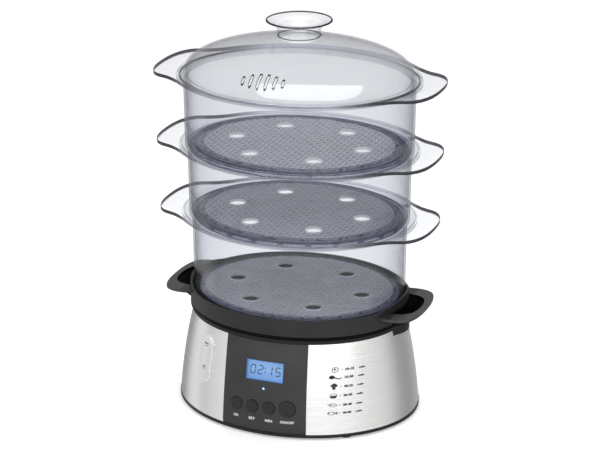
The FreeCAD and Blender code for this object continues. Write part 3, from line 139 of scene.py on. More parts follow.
def new_piece(name: str, verts: Iterable[Sequence[float]], faces: Iterable[Sequence[int]],
              crease: float = 35.0, turn_out: bool = True) -> bpy.types.Object:
    """Mesh object from points in millimetres.

    Args:
        name: Name of the piece.
        verts: Points.
        faces: Corner indices of each face.
        crease: Edge angle, in degrees, from which an edge stays sharp.
        turn_out: Whether the faces are turned to point outwards.

    Returns:
        The object, linked to the scene.
    """
    mesh = bpy.data.meshes.new(name)
    mesh.from_pydata([[c * MM for c in v] for v in verts], [], [list(f) for f in faces])
    piece = placed(name, mesh)
    tidy(piece, crease, turn_out)
    return piece


@contextmanager
def editing(mesh: bpy.types.Mesh) -> Iterator[bmesh.types.BMesh]:
    """Editable form of a mesh, written back at the end."""
    work = bmesh.new()
    work.from_mesh(mesh)
    yield work
    work.to_mesh(mesh)
    work.free()


def smoothed(mesh: bpy.types.Mesh, crease: float) -> None:
    """Shade a mesh smooth but for edges from an angle, in degrees."""
    mesh.shade_smooth()
    mesh.set_sharp_from_angle(angle=math.radians(crease))


def tidy(piece: bpy.types.Object, crease: float = 35.0, turn_out: bool = True,
         gap: float = 1e-6) -> None:
    """Merge doubled points, turn faces outwards and smooth all but the sharp edges.

    Args:
        piece: Mesh object to tidy.
        crease: Edge angle, in degrees, from which an edge stays sharp.
        turn_out: Whether the faces are turned to point outwards.
        gap: Distance under which points are one, in metres.
    """
    with editing(piece.data) as work:
        bmesh.ops.remove_doubles(work, verts=work.verts, dist=gap)
        bmesh.ops.dissolve_degenerate(work, dist=1e-8, edges=work.edges)
        if turn_out:
            bmesh.ops.recalc_face_normals(work, faces=work.faces)
    smoothed(piece.data, crease)


def from_solid(node: str) -> bpy.types.Object:
    """Piece with the shape of a solid of the frame, merged and smoothed.

    Args:
        node: Name of the solid.

    Returns:
        The new piece.
    """
    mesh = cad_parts[node].data.copy()
    mesh.name = node + "_shape"
    for layer in [a.name for a in mesh.attributes if a.name.startswith("custom_normal")]:
        mesh.attributes.remove(mesh.attributes[layer])
    piece = placed(mesh.name, mesh)
    tidy(piece, 32.0, False, 2e-6)
    return piece


def copies(*nodes: str) -> dict[str, bpy.types.Object]:
    """Pieces with the shapes of solids of the frame, by the names of the solids."""
    return {node: from_solid(node) for node in nodes}


def carved(piece: bpy.types.Object, cutters: Sequence[bpy.types.Object], crease: float = 35.0) -> None:
    """Cut shapes out of a piece and remove them.

    Args:
        piece: The piece that is cut.
        cutters: Closed shapes.
        crease: Edge angle from which an edge stays sharp afterwards.
    """
    for cutter in cutters:
        cut = piece.modifiers.new("cut", "BOOLEAN")
        cut.operation = "DIFFERENCE"
        cut.solver = "EXACT"
        cut.object = cutter
    bpy.context.view_layer.update()
    graph = bpy.context.evaluated_depsgraph_get()
    mesh = bpy.data.meshes.new_from_object(piece.evaluated_get(graph))
    piece.modifiers.clear()
    piece.data = mesh
    smoothed(mesh, crease)
    for cutter in cutters:
        bpy.data.objects.remove(cutter)


def plate_faces(count: int, first: int = 0) -> list[list[int]]:
    """Faces of a plate whose outline of count points is followed by the outline's other side."""
    top = list(range(first, first + count))
    low = [k + count for k in top]
    return [top, low[::-1]] + [[top[k - 1], low[k - 1], low[k], top[k]] for k in range(count)]


def plates(name: str, sides: Iterable[Sequence[Sequence[Vector]]]) -> bpy.types.Object:
    """One piece of several closed plates.

    Args:
        name: Name of the piece.
        sides: For each plate the outlines of its two sides, in millimetres.

    Returns:
        The piece.
    """
    verts: list[Vector] = []
    faces: list[list[int]] = []
    for one, other in sides:
        faces += plate_faces(len(one), len(verts))
        verts += [*one, *other]
    return new_piece(name, verts, faces)


def ring_faces(count: int) -> list[list[int]]:
    """Faces of a flat ring of four lines: outer and inner on top, outer and inner below."""
    return [[a * count + k, a * count + (k + 1) % count, b * count + (k + 1) % count, b * count + k]
            for k in range(count) for a, b in ((0, 1), (3, 2), (2, 0), (1, 3))]


def prism(name: str, outline: Sequence[Vector], along: Vector) -> bpy.types.Object:
    """Closed prism from an outline and a direction.

    Args:
        name: Name of the shape.
        outline: Corners of one end, in millimetres.
        along: Vector to the other end.

    Returns:
        The shape.
    """
    return plates(name, [(outline, [p + along for p in outline])])


@dataclass(frozen=True)
class Corner:
    """Corner of a turned profile: radius, height, rounding, and whether it follows the rim."""

    r: float
    z: float
    soft: float = 0.0
    rim: bool = False


def corners_of(table: Iterable[Sequence[float]]) -> list[Corner]:
    """Corners of a table of radius, height and rounding."""
    return [Corner(*row) for row in table]


def softened(corners: Sequence[Corner], nominal: float, closed: bool) -> list[Corner]:
    """Profile with its marked corners rounded.

    Args:
        corners: Corners in order.
        nominal: Radius that stands for the rim while rounding.
        closed: Whether the profile is a loop.

    Returns:
        The finer profile.
    """
    steps = 3
    count = len(corners)
    flat = [Vector((c.r + (nominal if c.rim else 0.0), c.z)) for c in corners]
    finer: list[Corner] = []
    for k, corner in enumerate(corners):
        ends = not closed and k in (0, count - 1)
        if corner.soft <= 0.0 or ends:
            finer.append(corner)
            continue
        here = flat[k]
        back = flat[k - 1] - here
        ahead = flat[(k + 1) % count] - here
        reach = min(corner.soft, 0.45 * back.length, 0.45 * ahead.length)
        first = here + back.normalized() * reach
        last = here + ahead.normalized() * reach
        for step in range(steps + 1):
            t = step / steps
            spot = first.lerp(here, t).lerp(here.lerp(last, t), t)
            shift = spot - here
            finer.append(Corner(corner.r + shift.x, corner.z + shift.y, 0.0, corner.rim))
    return finer


def even_angles(count: int) -> list[float]:
    """Evenly spaced angles round a turned piece."""
    return [math.tau * k / count for k in range(count)]


def ellipse(wide: float, tall: float, count: int, x: float = 0.0, y: float = 0.0) -> list[Point2]:
    """Points round an ellipse about (x, y), from its half width and half height."""
    return [(x + wide * math.cos(a), y + tall * math.sin(a)) for a in even_angles(count)]


def oval_reach(x: float, y: float) -> float:
    """Half-length of the oval through a place."""
    return math.hypot(x, y / OVAL)


def turned(name: str, corners: Sequence[Corner], angles: Sequence[float],
           oval: float | Callable[[float], float] = OVAL,
           closed: bool = True, rim: Optional[Callable[[float], float]] = None,
           nominal: float = WIDEST, crease: float = 35.0) -> bpy.types.Object:
    """Turned piece, squeezed to the oval, whose rim may follow an outline.

    Args:
        name: Name of the piece.
        corners: Profile corners.
        angles: Angles round the piece, rising.
        oval: Share of X kept along Y, or a function that gives it at a radius.
        closed: Whether the profile is a loop, else it ends on the axis.
        rim: Radius of the rim at an angle.
        nominal: Radius that stands for the rim while rounding corners.
        crease: Edge angle, in degrees, from which an edge stays sharp.

    Returns:
        The piece.
    """
    profile = softened(corners, nominal, closed)
    rows = len(profile)
    verts = []
    for angle in angles:
        edge = rim(angle) if rim else nominal
        for spot in profile:
            radius = spot.r + (edge if spot.rim else 0.0)
            flat = oval(spot.r) if callable(oval) else oval
            verts.append((radius * math.cos(angle), flat * radius * math.sin(angle), spot.z))
    faces = []
    turns = len(angles)
    for a in range(turns):
        b = (a + 1) % turns
        for k in range(rows if closed else rows - 1):
            nxt = (k + 1) % rows
            faces.append((a * rows + k, b * rows + k, b * rows + nxt, a * rows + nxt))
    return new_piece(name, verts, faces, crease)


def smooth_through(points: Sequence[Point2]) -> list[Point2]:
    """Finer smooth line through points."""
    per_span = 8
    ends = [points[0], *points, points[-1]]
    line: list[Point2] = []
    for k in range(1, len(ends) - 2):
        a, b, c, d = (Vector(p) for p in ends[k - 1:k + 3])
        for step in range(per_span):
            t = step / per_span
            spot = 0.5 * (2 * b + (c - a) * t + (2 * a - 5 * b + 4 * c - d) * t * t
                          + (3 * b - a - 3 * c + d) * t ** 3)
            line.append((spot.x, spot.y))
    line.append(points[-1])
    return line


def add_node(tree: bpy.types.NodeTree, kind: str, inputs: Optional[dict] = None,
             **values: object) -> bpy.types.Node:
    """New node in a tree.

    Args:
        tree: The tree.
        kind: Blender's name for the node.
        inputs: Values or sockets for its inputs, by name or number.
        values: Settings of the node itself.

    Returns:
        The node.
    """
    made = tree.nodes.new(kind)
    for key, value in values.items():
        setattr(made, key, value)
    for key, value in (inputs or {}).items():
        if isinstance(value, bpy.types.NodeSocket):
            tree.links.new(value, made.inputs[key])
        else:
            made.inputs[key].default_value = value
    return made


def add_maths(tree: bpy.types.NodeTree, kind: str, a: object, b: object) -> bpy.types.NodeSocket:
    """Result of a math step of two values or sockets in a tree."""
    return add_node(tree, "ShaderNodeMath", {0: a, 1: b}, operation=kind).outputs[0]


# ---- finishes -----------------------------------------------------------------
class Canvas:
    """Node tree of one finish, with short calls for the nodes that finishes share."""

    def __init__(self, name: str) -> None:
        """Start an empty finish called name."""
        self.material = bpy.data.materials.new(name)
        self.material.use_nodes = True
        self.tree = self.material.node_tree
        self.tree.nodes.clear()
        self.node = partial(add_node, self.tree)
        self.sum = partial(add_maths, self.tree)
        self.out = self.node("ShaderNodeOutputMaterial")

    def place(self, scale: Sequence[float] = (1.0, 1.0, 1.0)) -> bpy.types.NodeSocket:
        """Object coordinates, scaled."""
        coords = self.node("ShaderNodeTexCoord").outputs["Object"]
        return self.node("ShaderNodeMapping", {"Vector": coords, "Scale": scale}).outputs["Vector"]

    def noise(self, vector: bpy.types.NodeSocket, scale: float, detail: float = 2.0,
              rough: float = 0.5) -> bpy.types.NodeSocket:
        """Noise value at a vector."""
        made = self.node("ShaderNodeTexNoise", {"Vector": vector, "Scale": scale, "Detail": detail,
                                                "Roughness": rough})
        return made.outputs["Fac"]

    def ramp(self, fac: bpy.types.NodeSocket, stops: Sequence[tuple[float, Sequence[float]]]
             ) -> bpy.types.NodeSocket:
        """Colour ramp over a value; a stop's colour has three numbers."""
        made = self.node("ShaderNodeValToRGB", {"Fac": fac})
        band = made.color_ramp
        while len(band.elements) < len(stops):
            band.elements.new(0.5)
        for element, (spot, colour) in zip(band.elements, stops):
            element.position = spot
            element.color = (*colour, 1.0)
        return made.outputs["Color"]

    def tone(self, fac: bpy.types.NodeSocket, colour: Colour, low: float, high: float
             ) -> bpy.types.NodeSocket:
        """Colour that runs from its low share to its high share."""
        return self.ramp(fac, [(0.3, shade(colour, low)), (0.7, shade(colour, high))])

    def mix(self, share: bpy.types.NodeSocket, one: object, other: object) -> bpy.types.NodeSocket:
        """Mix of two colours, each a socket or three numbers."""
        ends = [end if isinstance(end, bpy.types.NodeSocket) else (*end, 1.0) for end in (one, other)]
        made = self.node("ShaderNodeMix", {"Factor": share, "A": ends[0], "B": ends[1]}, data_type="RGBA")
        return made.outputs["Result"]

    def span(self, fac: bpy.types.NodeSocket, low: float, high: float, start: float = 0.0,
             end: float = 1.0) -> bpy.types.NodeSocket:
        """Value mapped from start..end to low..high."""
        made = self.node("ShaderNodeMapRange", {"Value": fac, "From Min": start, "From Max": end,
                                                "To Min": low, "To Max": high})
        return made.outputs["Result"]

    def bump(self, height: bpy.types.NodeSocket, strength: float, depth: float) -> bpy.types.NodeSocket:
        """Normal raised by a height; depth is in metres."""
        made = self.node("ShaderNodeBump", {"Height": height, "Strength": strength, "Distance": depth})
        return made.outputs["Normal"]

    def solid(self, inputs: dict) -> bpy.types.Node:
        """Principled shader."""
        return self.node("ShaderNodeBsdfPrincipled", inputs)

    def show(self, shader: bpy.types.NodeSocket) -> bpy.types.Material:
        """Set what the finish shows and return the material."""
        self.tree.links.new(shader, self.out.inputs["Surface"])
        return self.material


def shade(colour: Colour, share: float) -> Colour:
    """Colour made darker or lighter by a share."""
    return tuple(min(1.0, c * share) for c in colour)


@dataclass(frozen=True)
class Finish:
    """Base of all finishes."""

    name: str

    def made(self) -> bpy.types.Material:
        """The material, built once."""
        known = bpy.data.materials.get(self.name)
        return known or self.build()

    def build(self) -> bpy.types.Material:
        """Build the material."""
        raise NotImplementedError


@dataclass(frozen=True)
class Moulded(Finish):
    """Moulded plastic or rubber with a fine grain and slight cloudiness."""

    colour: Colour
    gloss: float = 0.4
    grain: float = 0.25
    grain_scale: float = 2600.0
    sheen: float = 0.5

    def build(self) -> bpy.types.Material:
        """Build the material."""
        c = Canvas(self.name)
        place = c.place()
        cloud = c.noise(place, 38.0, 3.0)
        fine = c.noise(place, self.grain_scale, 2.0, 0.6)
        speck = c.mix(c.span(fine, 0.0, 0.16), c.tone(cloud, self.colour, 0.86, 1.12),
                      shade(self.colour, 1.9))
        rough = c.sum("ADD", c.span(cloud, self.gloss - 0.05, self.gloss + 0.05),
                      c.span(fine, -0.03, 0.03))
        skin = c.solid({"Base Color": speck, "Roughness": rough,
                        "Specular IOR Level": self.sheen,
                        "Normal": c.bump(fine, self.grain, 0.00006)})
        return c.show(skin.outputs[0])


@dataclass(frozen=True)
class Brushed(Finish):
    """Metal brushed level round the body."""

    colour: Colour = (0.80, 0.80, 0.79)
    gloss: float = 0.24
    stretch: float = 0.5
    lines: float = 2600.0
    along: float = 14.0

    def build(self) -> bpy.types.Material:
        """Build the material."""
        c = Canvas(self.name)
        place = c.place((self.along, self.along, self.lines))
        lines = c.noise(place, 1.0, 4.0, 0.65)
        wide = c.noise(c.place((3.0, 3.0, 700.0)), 1.0, 2.0)
        both = c.sum("ADD", c.sum("MULTIPLY", lines, 0.8), c.sum("MULTIPLY", wide, 0.2))
        tint = c.ramp(both, [(0.3, shade(self.colour, 0.92)), (0.5, self.colour),
                             (0.72, shade(self.colour, 1.07))])
        rough = c.span(both, self.gloss - 0.03, self.gloss + 0.08, 0.3, 0.7)
        skin = c.solid({"Base Color": tint, "Roughness": rough, "Metallic": 1.0,
                        "Anisotropic": self.stretch, "Anisotropic Rotation": 0.25,
                        "Normal": c.bump(lines, 0.25, 0.00003)})
        return c.show(skin.outputs[0])


@dataclass(frozen=True)
class Plated(Finish):
    """Bare or plated metal with fine scratches and clouding."""

    colour: Colour = (0.62, 0.61, 0.58)
    gloss: float = 0.32

    def build(self) -> bpy.types.Material:
        """Build the material."""
        c = Canvas(self.name)
        cloud = c.noise(c.place(), 60.0, 4.0)
        lines = c.noise(c.place((900.0, 90.0, 300.0)), 1.0, 3.0)
        tint = c.tone(cloud, self.colour, 0.82, 1.1)
        rough = c.sum("ADD", c.span(cloud, self.gloss - 0.06, self.gloss + 0.08),
                      c.span(lines, -0.04, 0.04))
        skin = c.solid({"Base Color": tint, "Roughness": rough, "Metallic": 1.0,
                        "Normal": c.bump(lines, 0.15, 0.00002)})
        return c.show(skin.outputs[0])


@dataclass(frozen=True)
class Clear(Finish):
    """See-through moulded plastic: smoky straight on, darker and mirror-like at a glance."""

    face: Colour = (0.925, 0.93, 0.945)
    edge: Colour = (0.62, 0.63, 0.67)
    bite: float = 7.0
    haze: Colour = (0.42, 0.43, 0.47)
    cloud: float = 0.012
    gloss: float = 0.05
    shine: float = 0.7

    def through(self, c: Canvas) -> bpy.types.NodeSocket:
        """Colour that passes, by how steeply the face is seen."""
        glance = c.node("ShaderNodeLayerWeight", {"Blend": 0.5}).outputs["Facing"]
        return c.mix(c.sum("POWER", glance, self.bite), self.face, self.edge)

    def build(self) -> bpy.types.Material:
        """Build the material."""
        c = Canvas(self.name)
        clear = c.node("ShaderNodeBsdfTransparent", {"Color": self.through(c)})
        ripple = c.noise(c.place((1.0, 1.0, 0.35)), 42.0, 2.0)
        rough = c.span(ripple, max(0.01, self.gloss - 0.03), self.gloss + 0.03)
        bent = c.bump(ripple, 0.04, 0.0004)
        mirror = c.node("ShaderNodeBsdfGlossy", {"Color": (1.0, 1.0, 1.0, 1.0), "Roughness": rough,
                                                 "Normal": bent})
        glance = c.node("ShaderNodeLayerWeight", {"Blend": 0.5, "Normal": bent}).outputs["Facing"]
        shown = c.span(c.sum("POWER", glance, 5.0), 0.034, 0.034 + self.shine)
        glazed = c.node("ShaderNodeMixShader", {0: shown, 1: clear.outputs[0], 2: mirror.outputs[0]})
        milk = c.solid({"Base Color": (*self.haze, 1.0), "Roughness": 0.5})
        mix = c.node("ShaderNodeMixShader", {0: c.span(ripple, self.cloud * 0.6, self.cloud * 1.4),
                                             1: glazed.outputs[0], 2: milk.outputs[0]})
        return c.show(mix.outputs[0])


@dataclass(frozen=True)
class ShadedEdge(Clear):
    """Cut edge of clear plastic with painted shade: near black towards the handles, paler between them."""

    dark: Colour = (0.035, 0.036, 0.045)
    start: float = 0.072
    end: float = 0.112

    def through(self, c: Canvas) -> bpy.types.NodeSocket:
        """Colour that passes, by the distance from the middle plane; the dark end is painted shade."""
        parts = c.node("ShaderNodeSeparateXYZ", {0: c.place()}).outputs
        share = c.span(c.sum("ABSOLUTE", parts["X"], 0.0), 0.0, 1.0, self.start, self.end)
        return c.mix(share, self.face, self.dark)


@dataclass(frozen=True)
class Pierced(Finish):
    """Smoky plastic of the lift-out floors, with a painted glint: paler on the lips and sides of the slots.
    """

    colour: Colour = (0.28, 0.292, 0.345)
    # pale is the colour of the painted glint.
    pale: Colour = (0.93, 0.945, 0.98)
    glass: Colour = (0.62, 0.64, 0.70)
    body: float = 0.90
    gloss: float = 0.28
    pitch: float = 5.6

    def build(self) -> bpy.types.Material:
        """Build the material."""
        c = Canvas(self.name)
        flat = c.node("ShaderNodeNewGeometry").outputs["True Normal"]
        level = c.sum("ABSOLUTE", c.node("ShaderNodeSeparateXYZ", {0: flat}).outputs["Z"], 0.0)
        cloud = c.noise(c.place(), 55.0, 2.0)
        ground = c.tone(cloud, self.colour, 0.70, 0.95)
        parts = c.node("ShaderNodeSeparateXYZ", {0: c.place()}).outputs
        tiles = [c.sum("ADD", c.sum("MULTIPLY", parts[k], 1.0 / (self.pitch * MM)), 0.5) for k in ("X", "Y")]
        x, y = (c.sum("SUBTRACT", c.sum("FRACT", tile, 0.0), 0.5) for tile in tiles)
        along = c.sum("ABSOLUTE", c.sum("ADD", x, y), 0.0)
        aside = c.sum("SUBTRACT", y, x)
        # Painted glint: a pale band beside each slot on the top face, as if its lip were lit.
        lip = c.sum("MULTIPLY", c.span(aside, 0.0, 1.0, 0.12, 0.20), c.span(aside, 1.0, 0.0, 0.34, 0.46))
        lip = c.sum("MULTIPLY", lip, c.span(along, 1.0, 0.0, 0.55, 0.70))
        # Painted glint: steep faces and the lip band take the pale colour.
        shown = c.sum("MAXIMUM", c.span(level, 1.0, 0.0, 0.55, 0.985), lip)
        skin = c.solid({"Base Color": c.mix(shown, ground, self.pale), "Roughness": self.gloss})
        clear = c.node("ShaderNodeBsdfTransparent", {"Color": (*self.glass, 1.0)})
        mix = c.node("ShaderNodeMixShader", {0: self.body, 1: clear.outputs[0], 2: skin.outputs[0]})
        return c.show(mix.outputs[0])


@dataclass(frozen=True)
class Glow(Finish):
    """Lit surface with a soft unevenness."""

    colour: Colour
    power: float = 1.0

    def build(self) -> bpy.types.Material:
        """Build the material."""
        c = Canvas(self.name)
        cloud = c.noise(c.place(), 70.0, 2.0)
        tint = c.tone(cloud, self.colour, 0.94, 1.05)
        skin = c.solid({"Base Color": tint, "Roughness": 0.5, "Emission Color": tint,
                        "Emission Strength": self.power})
        return c.show(skin.outputs[0])


@dataclass(frozen=True)
class Board(Finish):
    """Circuit board: lacquer over faint tracks."""

    colour: Colour = (0.02, 0.16, 0.06)

    def build(self) -> bpy.types.Material:
        """Build the material."""
        c = Canvas(self.name)
        tracks = c.node("ShaderNodeTexBrick", {"Vector": c.place(), "Scale": 90.0,
                                               "Mortar Size": 0.02})
        tint = c.mix(tracks.outputs["Fac"], self.colour, shade(self.colour, 1.8))
        skin = c.solid({"Base Color": tint, "Roughness": 0.35,
                        "Normal": c.bump(tracks.outputs["Fac"], 0.2, 0.00005)})
        return c.show(skin.outputs[0])


class Kit(Enum):
    """Finishes of the steamer."""

    STEEL = Brushed("brushed_steel")
    SMOKE = Clear("smoky_clear_plastic", edge=(0.70, 0.71, 0.745), bite=2.6)
    LID = Clear("smoky_clear_lid", face=(0.885, 0.89, 0.90), edge=(0.86, 0.865, 0.885), bite=4.0)
    KNOB = Clear("smoky_clear_knob", face=(0.968, 0.97, 0.98), edge=(0.80, 0.81, 0.85), bite=5.0,
                 cloud=0.003, shine=0.5)
    # Painted shade: the cut edges of the bowls and the lid's rim skirt, near black towards the handles.
    RIM = ShadedEdge("smoky_clear_edge", face=(0.74, 0.75, 0.79))
    # Painted highlight: a clearer, paler copy of the knob's plastic in the knob's core and on the boss top.
    CORE = Clear("clear_knob_core", face=(0.99, 0.991, 0.993), edge=(0.97, 0.972, 0.98), cloud=0.001,
                 shine=0.05)
    # Painted highlight: pale, milky sides of the drain slots.
    DRAIN = Clear("pale_drain_edge", face=(0.92, 0.93, 0.96), cloud=0.75, haze=(0.80, 0.82, 0.88))
    # Painted shade: near black on the knob's rim and foot and on the sides of the steam slots.
    KNOB_RIM = ShadedEdge("smoky_clear_knob_edge", face=(0.012, 0.013, 0.018), dark=(0.012, 0.013, 0.018),
                     cloud=0.0, shine=0.12)
    TAB = Clear("smoky_clear_tab", face=(0.965, 0.97, 0.978), edge=(0.90, 0.905, 0.925), bite=4.0,
                cloud=0.006, shine=0.3)
    # Painted shade: a darker copy of the smoky plastic on the bowls' ledges.
    LEDGE = Clear("smoky_clear_ledge", face=(0.43, 0.455, 0.54), edge=(0.24, 0.25, 0.30), bite=2.0)
    BEAD = Clear("smoky_floor_rim", face=(0.74, 0.755, 0.82), edge=(0.50, 0.515, 0.59), bite=2.0, cloud=0.05,
                 haze=(0.5, 0.52, 0.6))
    # Painted light: one floor plastic, made lighter on the lower floors to cancel the shade of the floors
    # above.
    GRID_1 = Pierced("smoky_floor_plastic_low", colour=(0.66, 0.68, 0.76))
    GRID_2 = Pierced("smoky_floor_plastic_middle", colour=(0.58, 0.60, 0.69))
    GRID = Pierced("smoky_floor_plastic", colour=(0.33, 0.345, 0.41))
    PANE = Clear("clear_pane", face=(0.97, 0.98, 0.99), cloud=0.0, gloss=0.03, shine=0.3)
    GAUGE = Clear("clear_gauge", face=(0.97, 0.97, 0.975), edge=(0.7, 0.7, 0.72), cloud=0.72,
                  haze=(0.97, 0.97, 0.975))
    BLACK = Moulded("black_plastic", (0.008, 0.008, 0.009), 0.34, sheen=0.25)
    TRAY = Moulded("satin_black_plastic", (0.019, 0.019, 0.020), 0.42, 0.3, sheen=0.25)
    CHARCOAL = Moulded("charcoal_plastic", (0.037, 0.036, 0.038), 0.42, 0.3, sheen=0.27)
    BUTTON = Moulded("black_button_plastic", (0.016, 0.016, 0.017), 0.30, 0.15, sheen=0.3)
    # Painted highlight: the tray's black made paler on the top faces of the scoop lips.
    LIP = Moulded("satin_black_lip", (0.055, 0.055, 0.057), 0.36, 0.3, sheen=0.3)
    # Painted shade: near black inside the scoops and in the groove under the tray's wall.
    PIT = Moulded("shaded_black_plastic", (0.002, 0.002, 0.0022), 0.5, 0.1, sheen=0.05)
    HOUSING = Moulded("black_housing_plastic", (0.016, 0.016, 0.017), 0.5)
    RUBBER = Moulded("black_rubber", (0.018, 0.018, 0.018), 0.75, 0.5, 1400.0, 0.3)
    SILICONE = Moulded("red_silicone", (0.45, 0.10, 0.06), 0.6)
    FLOAT = Moulded("pale_float_plastic", (0.80, 0.80, 0.78), 0.35)
    CHAMBER = Moulded("pale_chamber_plastic", (0.82, 0.82, 0.82), 0.45)
    RELAY = Moulded("blue_case_plastic", (0.03, 0.10, 0.35), 0.4)
    CAPACITOR = Moulded("yellow_case_plastic", (0.60, 0.42, 0.05), 0.4)
    TERMINAL = Moulded("green_case_plastic", (0.05, 0.30, 0.12), 0.45)
    LEAD = Moulded("white_sleeve", (0.62, 0.60, 0.54), 0.55)
    RIBBON = Moulded("grey_ribbon_plastic", (0.35, 0.36, 0.38), 0.5)
    INK = Moulded("black_ink", (0.012, 0.012, 0.013), 0.6, 0.1, sheen=0.2)
    WHITE = Moulded("white_ink", (0.90, 0.90, 0.90), 0.5, 0.1)
    SEGMENT = Moulded("dark_display_ink", (0.010, 0.035, 0.09), 0.5, 0.05)
    ZINC = Plated("zinc_plate")
    PLATE = Plated("heater_steel", (0.58, 0.57, 0.55), 0.28)
    SHEATH = Plated("dark_element_sheath", (0.20, 0.19, 0.18), 0.45)
    BOARD = Board("green_board")
    BACKLIGHT = Glow("blue_backlight", (0.165, 0.33, 0.60), 0.52)
    # Painted light and shade: a dim blue glow on the sides of the display's opening.
    BACKLIGHT_EDGE = Glow("blue_backlight_edge", (0.035, 0.17, 0.45), 0.4)
    LAMP = Glow("blue_white_lamp", (0.66, 0.82, 1.0), 0.9)
    LENS = Glow("blue_lens", (0.012, 0.045, 0.12), 0.2)


def dress(piece: bpy.types.Object, finish: Kit, body: str, *nodes: str,
          slot: Optional[str] = None) -> bpy.types.Object:
    """Give a piece its finish and its place in the moving frame.

    Args:
        piece: The piece.
        finish: Its finish.
        body: The moving body that carries it.
        nodes: Solids that the piece stands for.
        slot: Name of the record's finish; not used.

    Returns:
        The same piece.
    """
    piece.data.materials.clear()
    piece.data.materials.append(finish.value.made())
    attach(piece, body)
    if nodes:
        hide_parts(*nodes)
    LOG.info("%s: %d faces, %s", piece.name, len(piece.data.polygons), finish.value.name)
    return piece


def edged(piece: bpy.types.Object, finish: Kit, chosen: Callable[[float, float, float], bool]) -> None:
    """Give some faces of a piece a second finish.

    Args:
        piece: The piece.
        finish: The second finish.
        chosen: Says whether a place in millimetres belongs to it; a face whose corners all do is in.
    """
    spot = len(piece.data.materials)
    piece.data.materials.append(finish.value.made())
    inside = [chosen(*(vert.co / MM)) for vert in piece.data.vertices]
    for face in piece.data.polygons:
        if all(inside[k] for k in face.vertices):
            face.material_index = spot


def coat(node: str, finish: Kit) -> None:
    """Give a solid of the frame its finish.

    Args:
        node: Name of the solid.
        finish: Its finish.
    """
    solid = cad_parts[node]
    solid.data.materials.clear()
    solid.data.materials.append(finish.value.made())
    LOG.info("%s: solid of the frame, %s", node, finish.value.name)


# ---- assemblies -----------------------------------------------------------------
class Assembly:
    """Part of the steamer that is built first and then given its finishes."""

    def build(self) -> None:
        """Make the shapes."""
        raise NotImplementedError

    def dress(self) -> None:
        """Give the shapes their finishes and bodies."""
        raise NotImplementedError


@dataclass
class Sleeve(Assembly):
    """Brushed steel sleeve round the base."""

    thick: float = 0.8
    rows: int = 24
    turns: int = 360
    piece: Optional[bpy.types.Object] = None

    PANEL_HOLE = ((-46.5, 5.0), (46.5, 5.0), (44.5, 103.0), (-44.5, 103.0))
    GAUGE_HOLE = (15.0, 47.0)
    GLAND = (7.0, 7.0, 48, 0.0, 16.0)
    NOTCH = ((-22.6, 95.7), (22.6, 95.7), (22.6, 103.0), (-22.6, 103.0))

    def build(self) -> None:
        """Turn the band and open it for panel, gauge, gland and refill lips."""
        heights = [FLANK.z0 + (FLANK.z1 - FLANK.z0) * k / self.rows for k in range(self.rows + 1)]
        outer = [Corner(FLANK.radius(z), z) for z in heights]
        inner = [Corner(FLANK.radius(z) - self.thick, z) for z in reversed(heights)]
        self.piece = turned("steel_sleeve", outer + inner, even_angles(self.turns), crease=50.0)
        window = [Vector((x, -60.0, z)) for x, z in self.PANEL_HOLE]
        slot = [GAUGE.at(x, u, -12.0) for x, u in stadium(*self.GAUGE_HOLE)]
        round_hole = [Vector((x, 90.0, z)) for x, z in ellipse(*self.GLAND)]
        cutters = [prism("cut_panel", window, Vector((0.0, -140.0, 0.0))),
                   prism("cut_gauge", slot, GAUGE.out * 24.0),
                   prism("cut_gland", round_hole, Vector((0.0, 34.0, 0.0)))]
        for side in (-1.0, 1.0):
            notch = [Vector((side * 90.0, y, z)) for y, z in self.NOTCH]
            cutters.append(prism("cut_notch", notch, Vector((side * 42.0, 0.0, 0.0))))
        carved(self.piece, cutters, 50.0)

    def dress(self) -> None:
        """Brushed steel."""
        dress(self.piece, Kit.STEEL, "base", "steel_skin", slot="brushed_steel_skin")


def stadium(width: float, height: float, steps: int = 20) -> list[Point2]:
    """Corners of an upright slot shape about its middle.

    Args:
        width: Width of the slot.
        height: Height over both round ends.
        steps: Pieces in each round end.

    Returns:
        The corners.
    """
    radius = width / 2
    half = height / 2 - radius
    corners = []
    for start, middle in ((0.0, half), (math.pi, -half)):
        for k in range(steps + 1):
            angle = start + math.pi * k / steps
            corners.append((radius * math.cos(angle), middle + radius * math.sin(angle)))
    return corners


@dataclass
class Base(Assembly):
    """Everything of the base but its sleeve, panel and gauge."""

    shown: dict[str, bpy.types.Object] = field(default_factory=dict)

    LOOKS = {
        **dict.fromkeys(("housing_left", "housing_right", "housing_front", "housing_rear"),
                        (Kit.HOUSING, "black_abs")),
        **dict.fromkeys(("deck_front", "deck_rear", "base_bottom"), (Kit.BLACK, "black_abs")),
        "rubber_feet": (Kit.RUBBER, "foot_rubber"),
        "bottom_screws": (Kit.ZINC, "zinc_screw"),
        "water_tank": (Kit.BLACK, "tank_black"),
        "heater_plate": (Kit.PLATE, "heater_steel"),
        "cable_gland": (Kit.RUBBER, "gland_rubber"),
    }
    HIDDEN = {
        "heater_seal": Kit.SILICONE, "heater_nuts": Kit.ZINC, "heating_element": Kit.SHEATH,
        "thermostat": Kit.PLATE, "thermal_fuse": Kit.ZINC, "power_board": Kit.BOARD,
        "power_board_screws": Kit.ZINC, "relay": Kit.RELAY, "capacitor": Kit.CAPACITOR,
        "terminal_block": Kit.TERMINAL, "heater_leads": Kit.LEAD, "board_ribbon": Kit.RIBBON,
        "control_board": Kit.BOARD, "control_board_screws": Kit.ZINC, "tact_switches": Kit.BLACK,
        "indicator_led": Kit.LAMP, "gauge_chamber": Kit.CHAMBER,
    }

    def build(self) -> None:
        """Copy the shown solids with smooth flanks and sharp edges."""
        self.shown = copies(*self.LOOKS)

    def dress(self) -> None:
        """Black plastics, rubber and metal."""
        for node, piece in self.shown.items():
            finish, slot = self.LOOKS[node]
            dress(piece, finish, "base", node, slot=slot)
        for node, finish in self.HIDDEN.items():
            coat(node, finish)


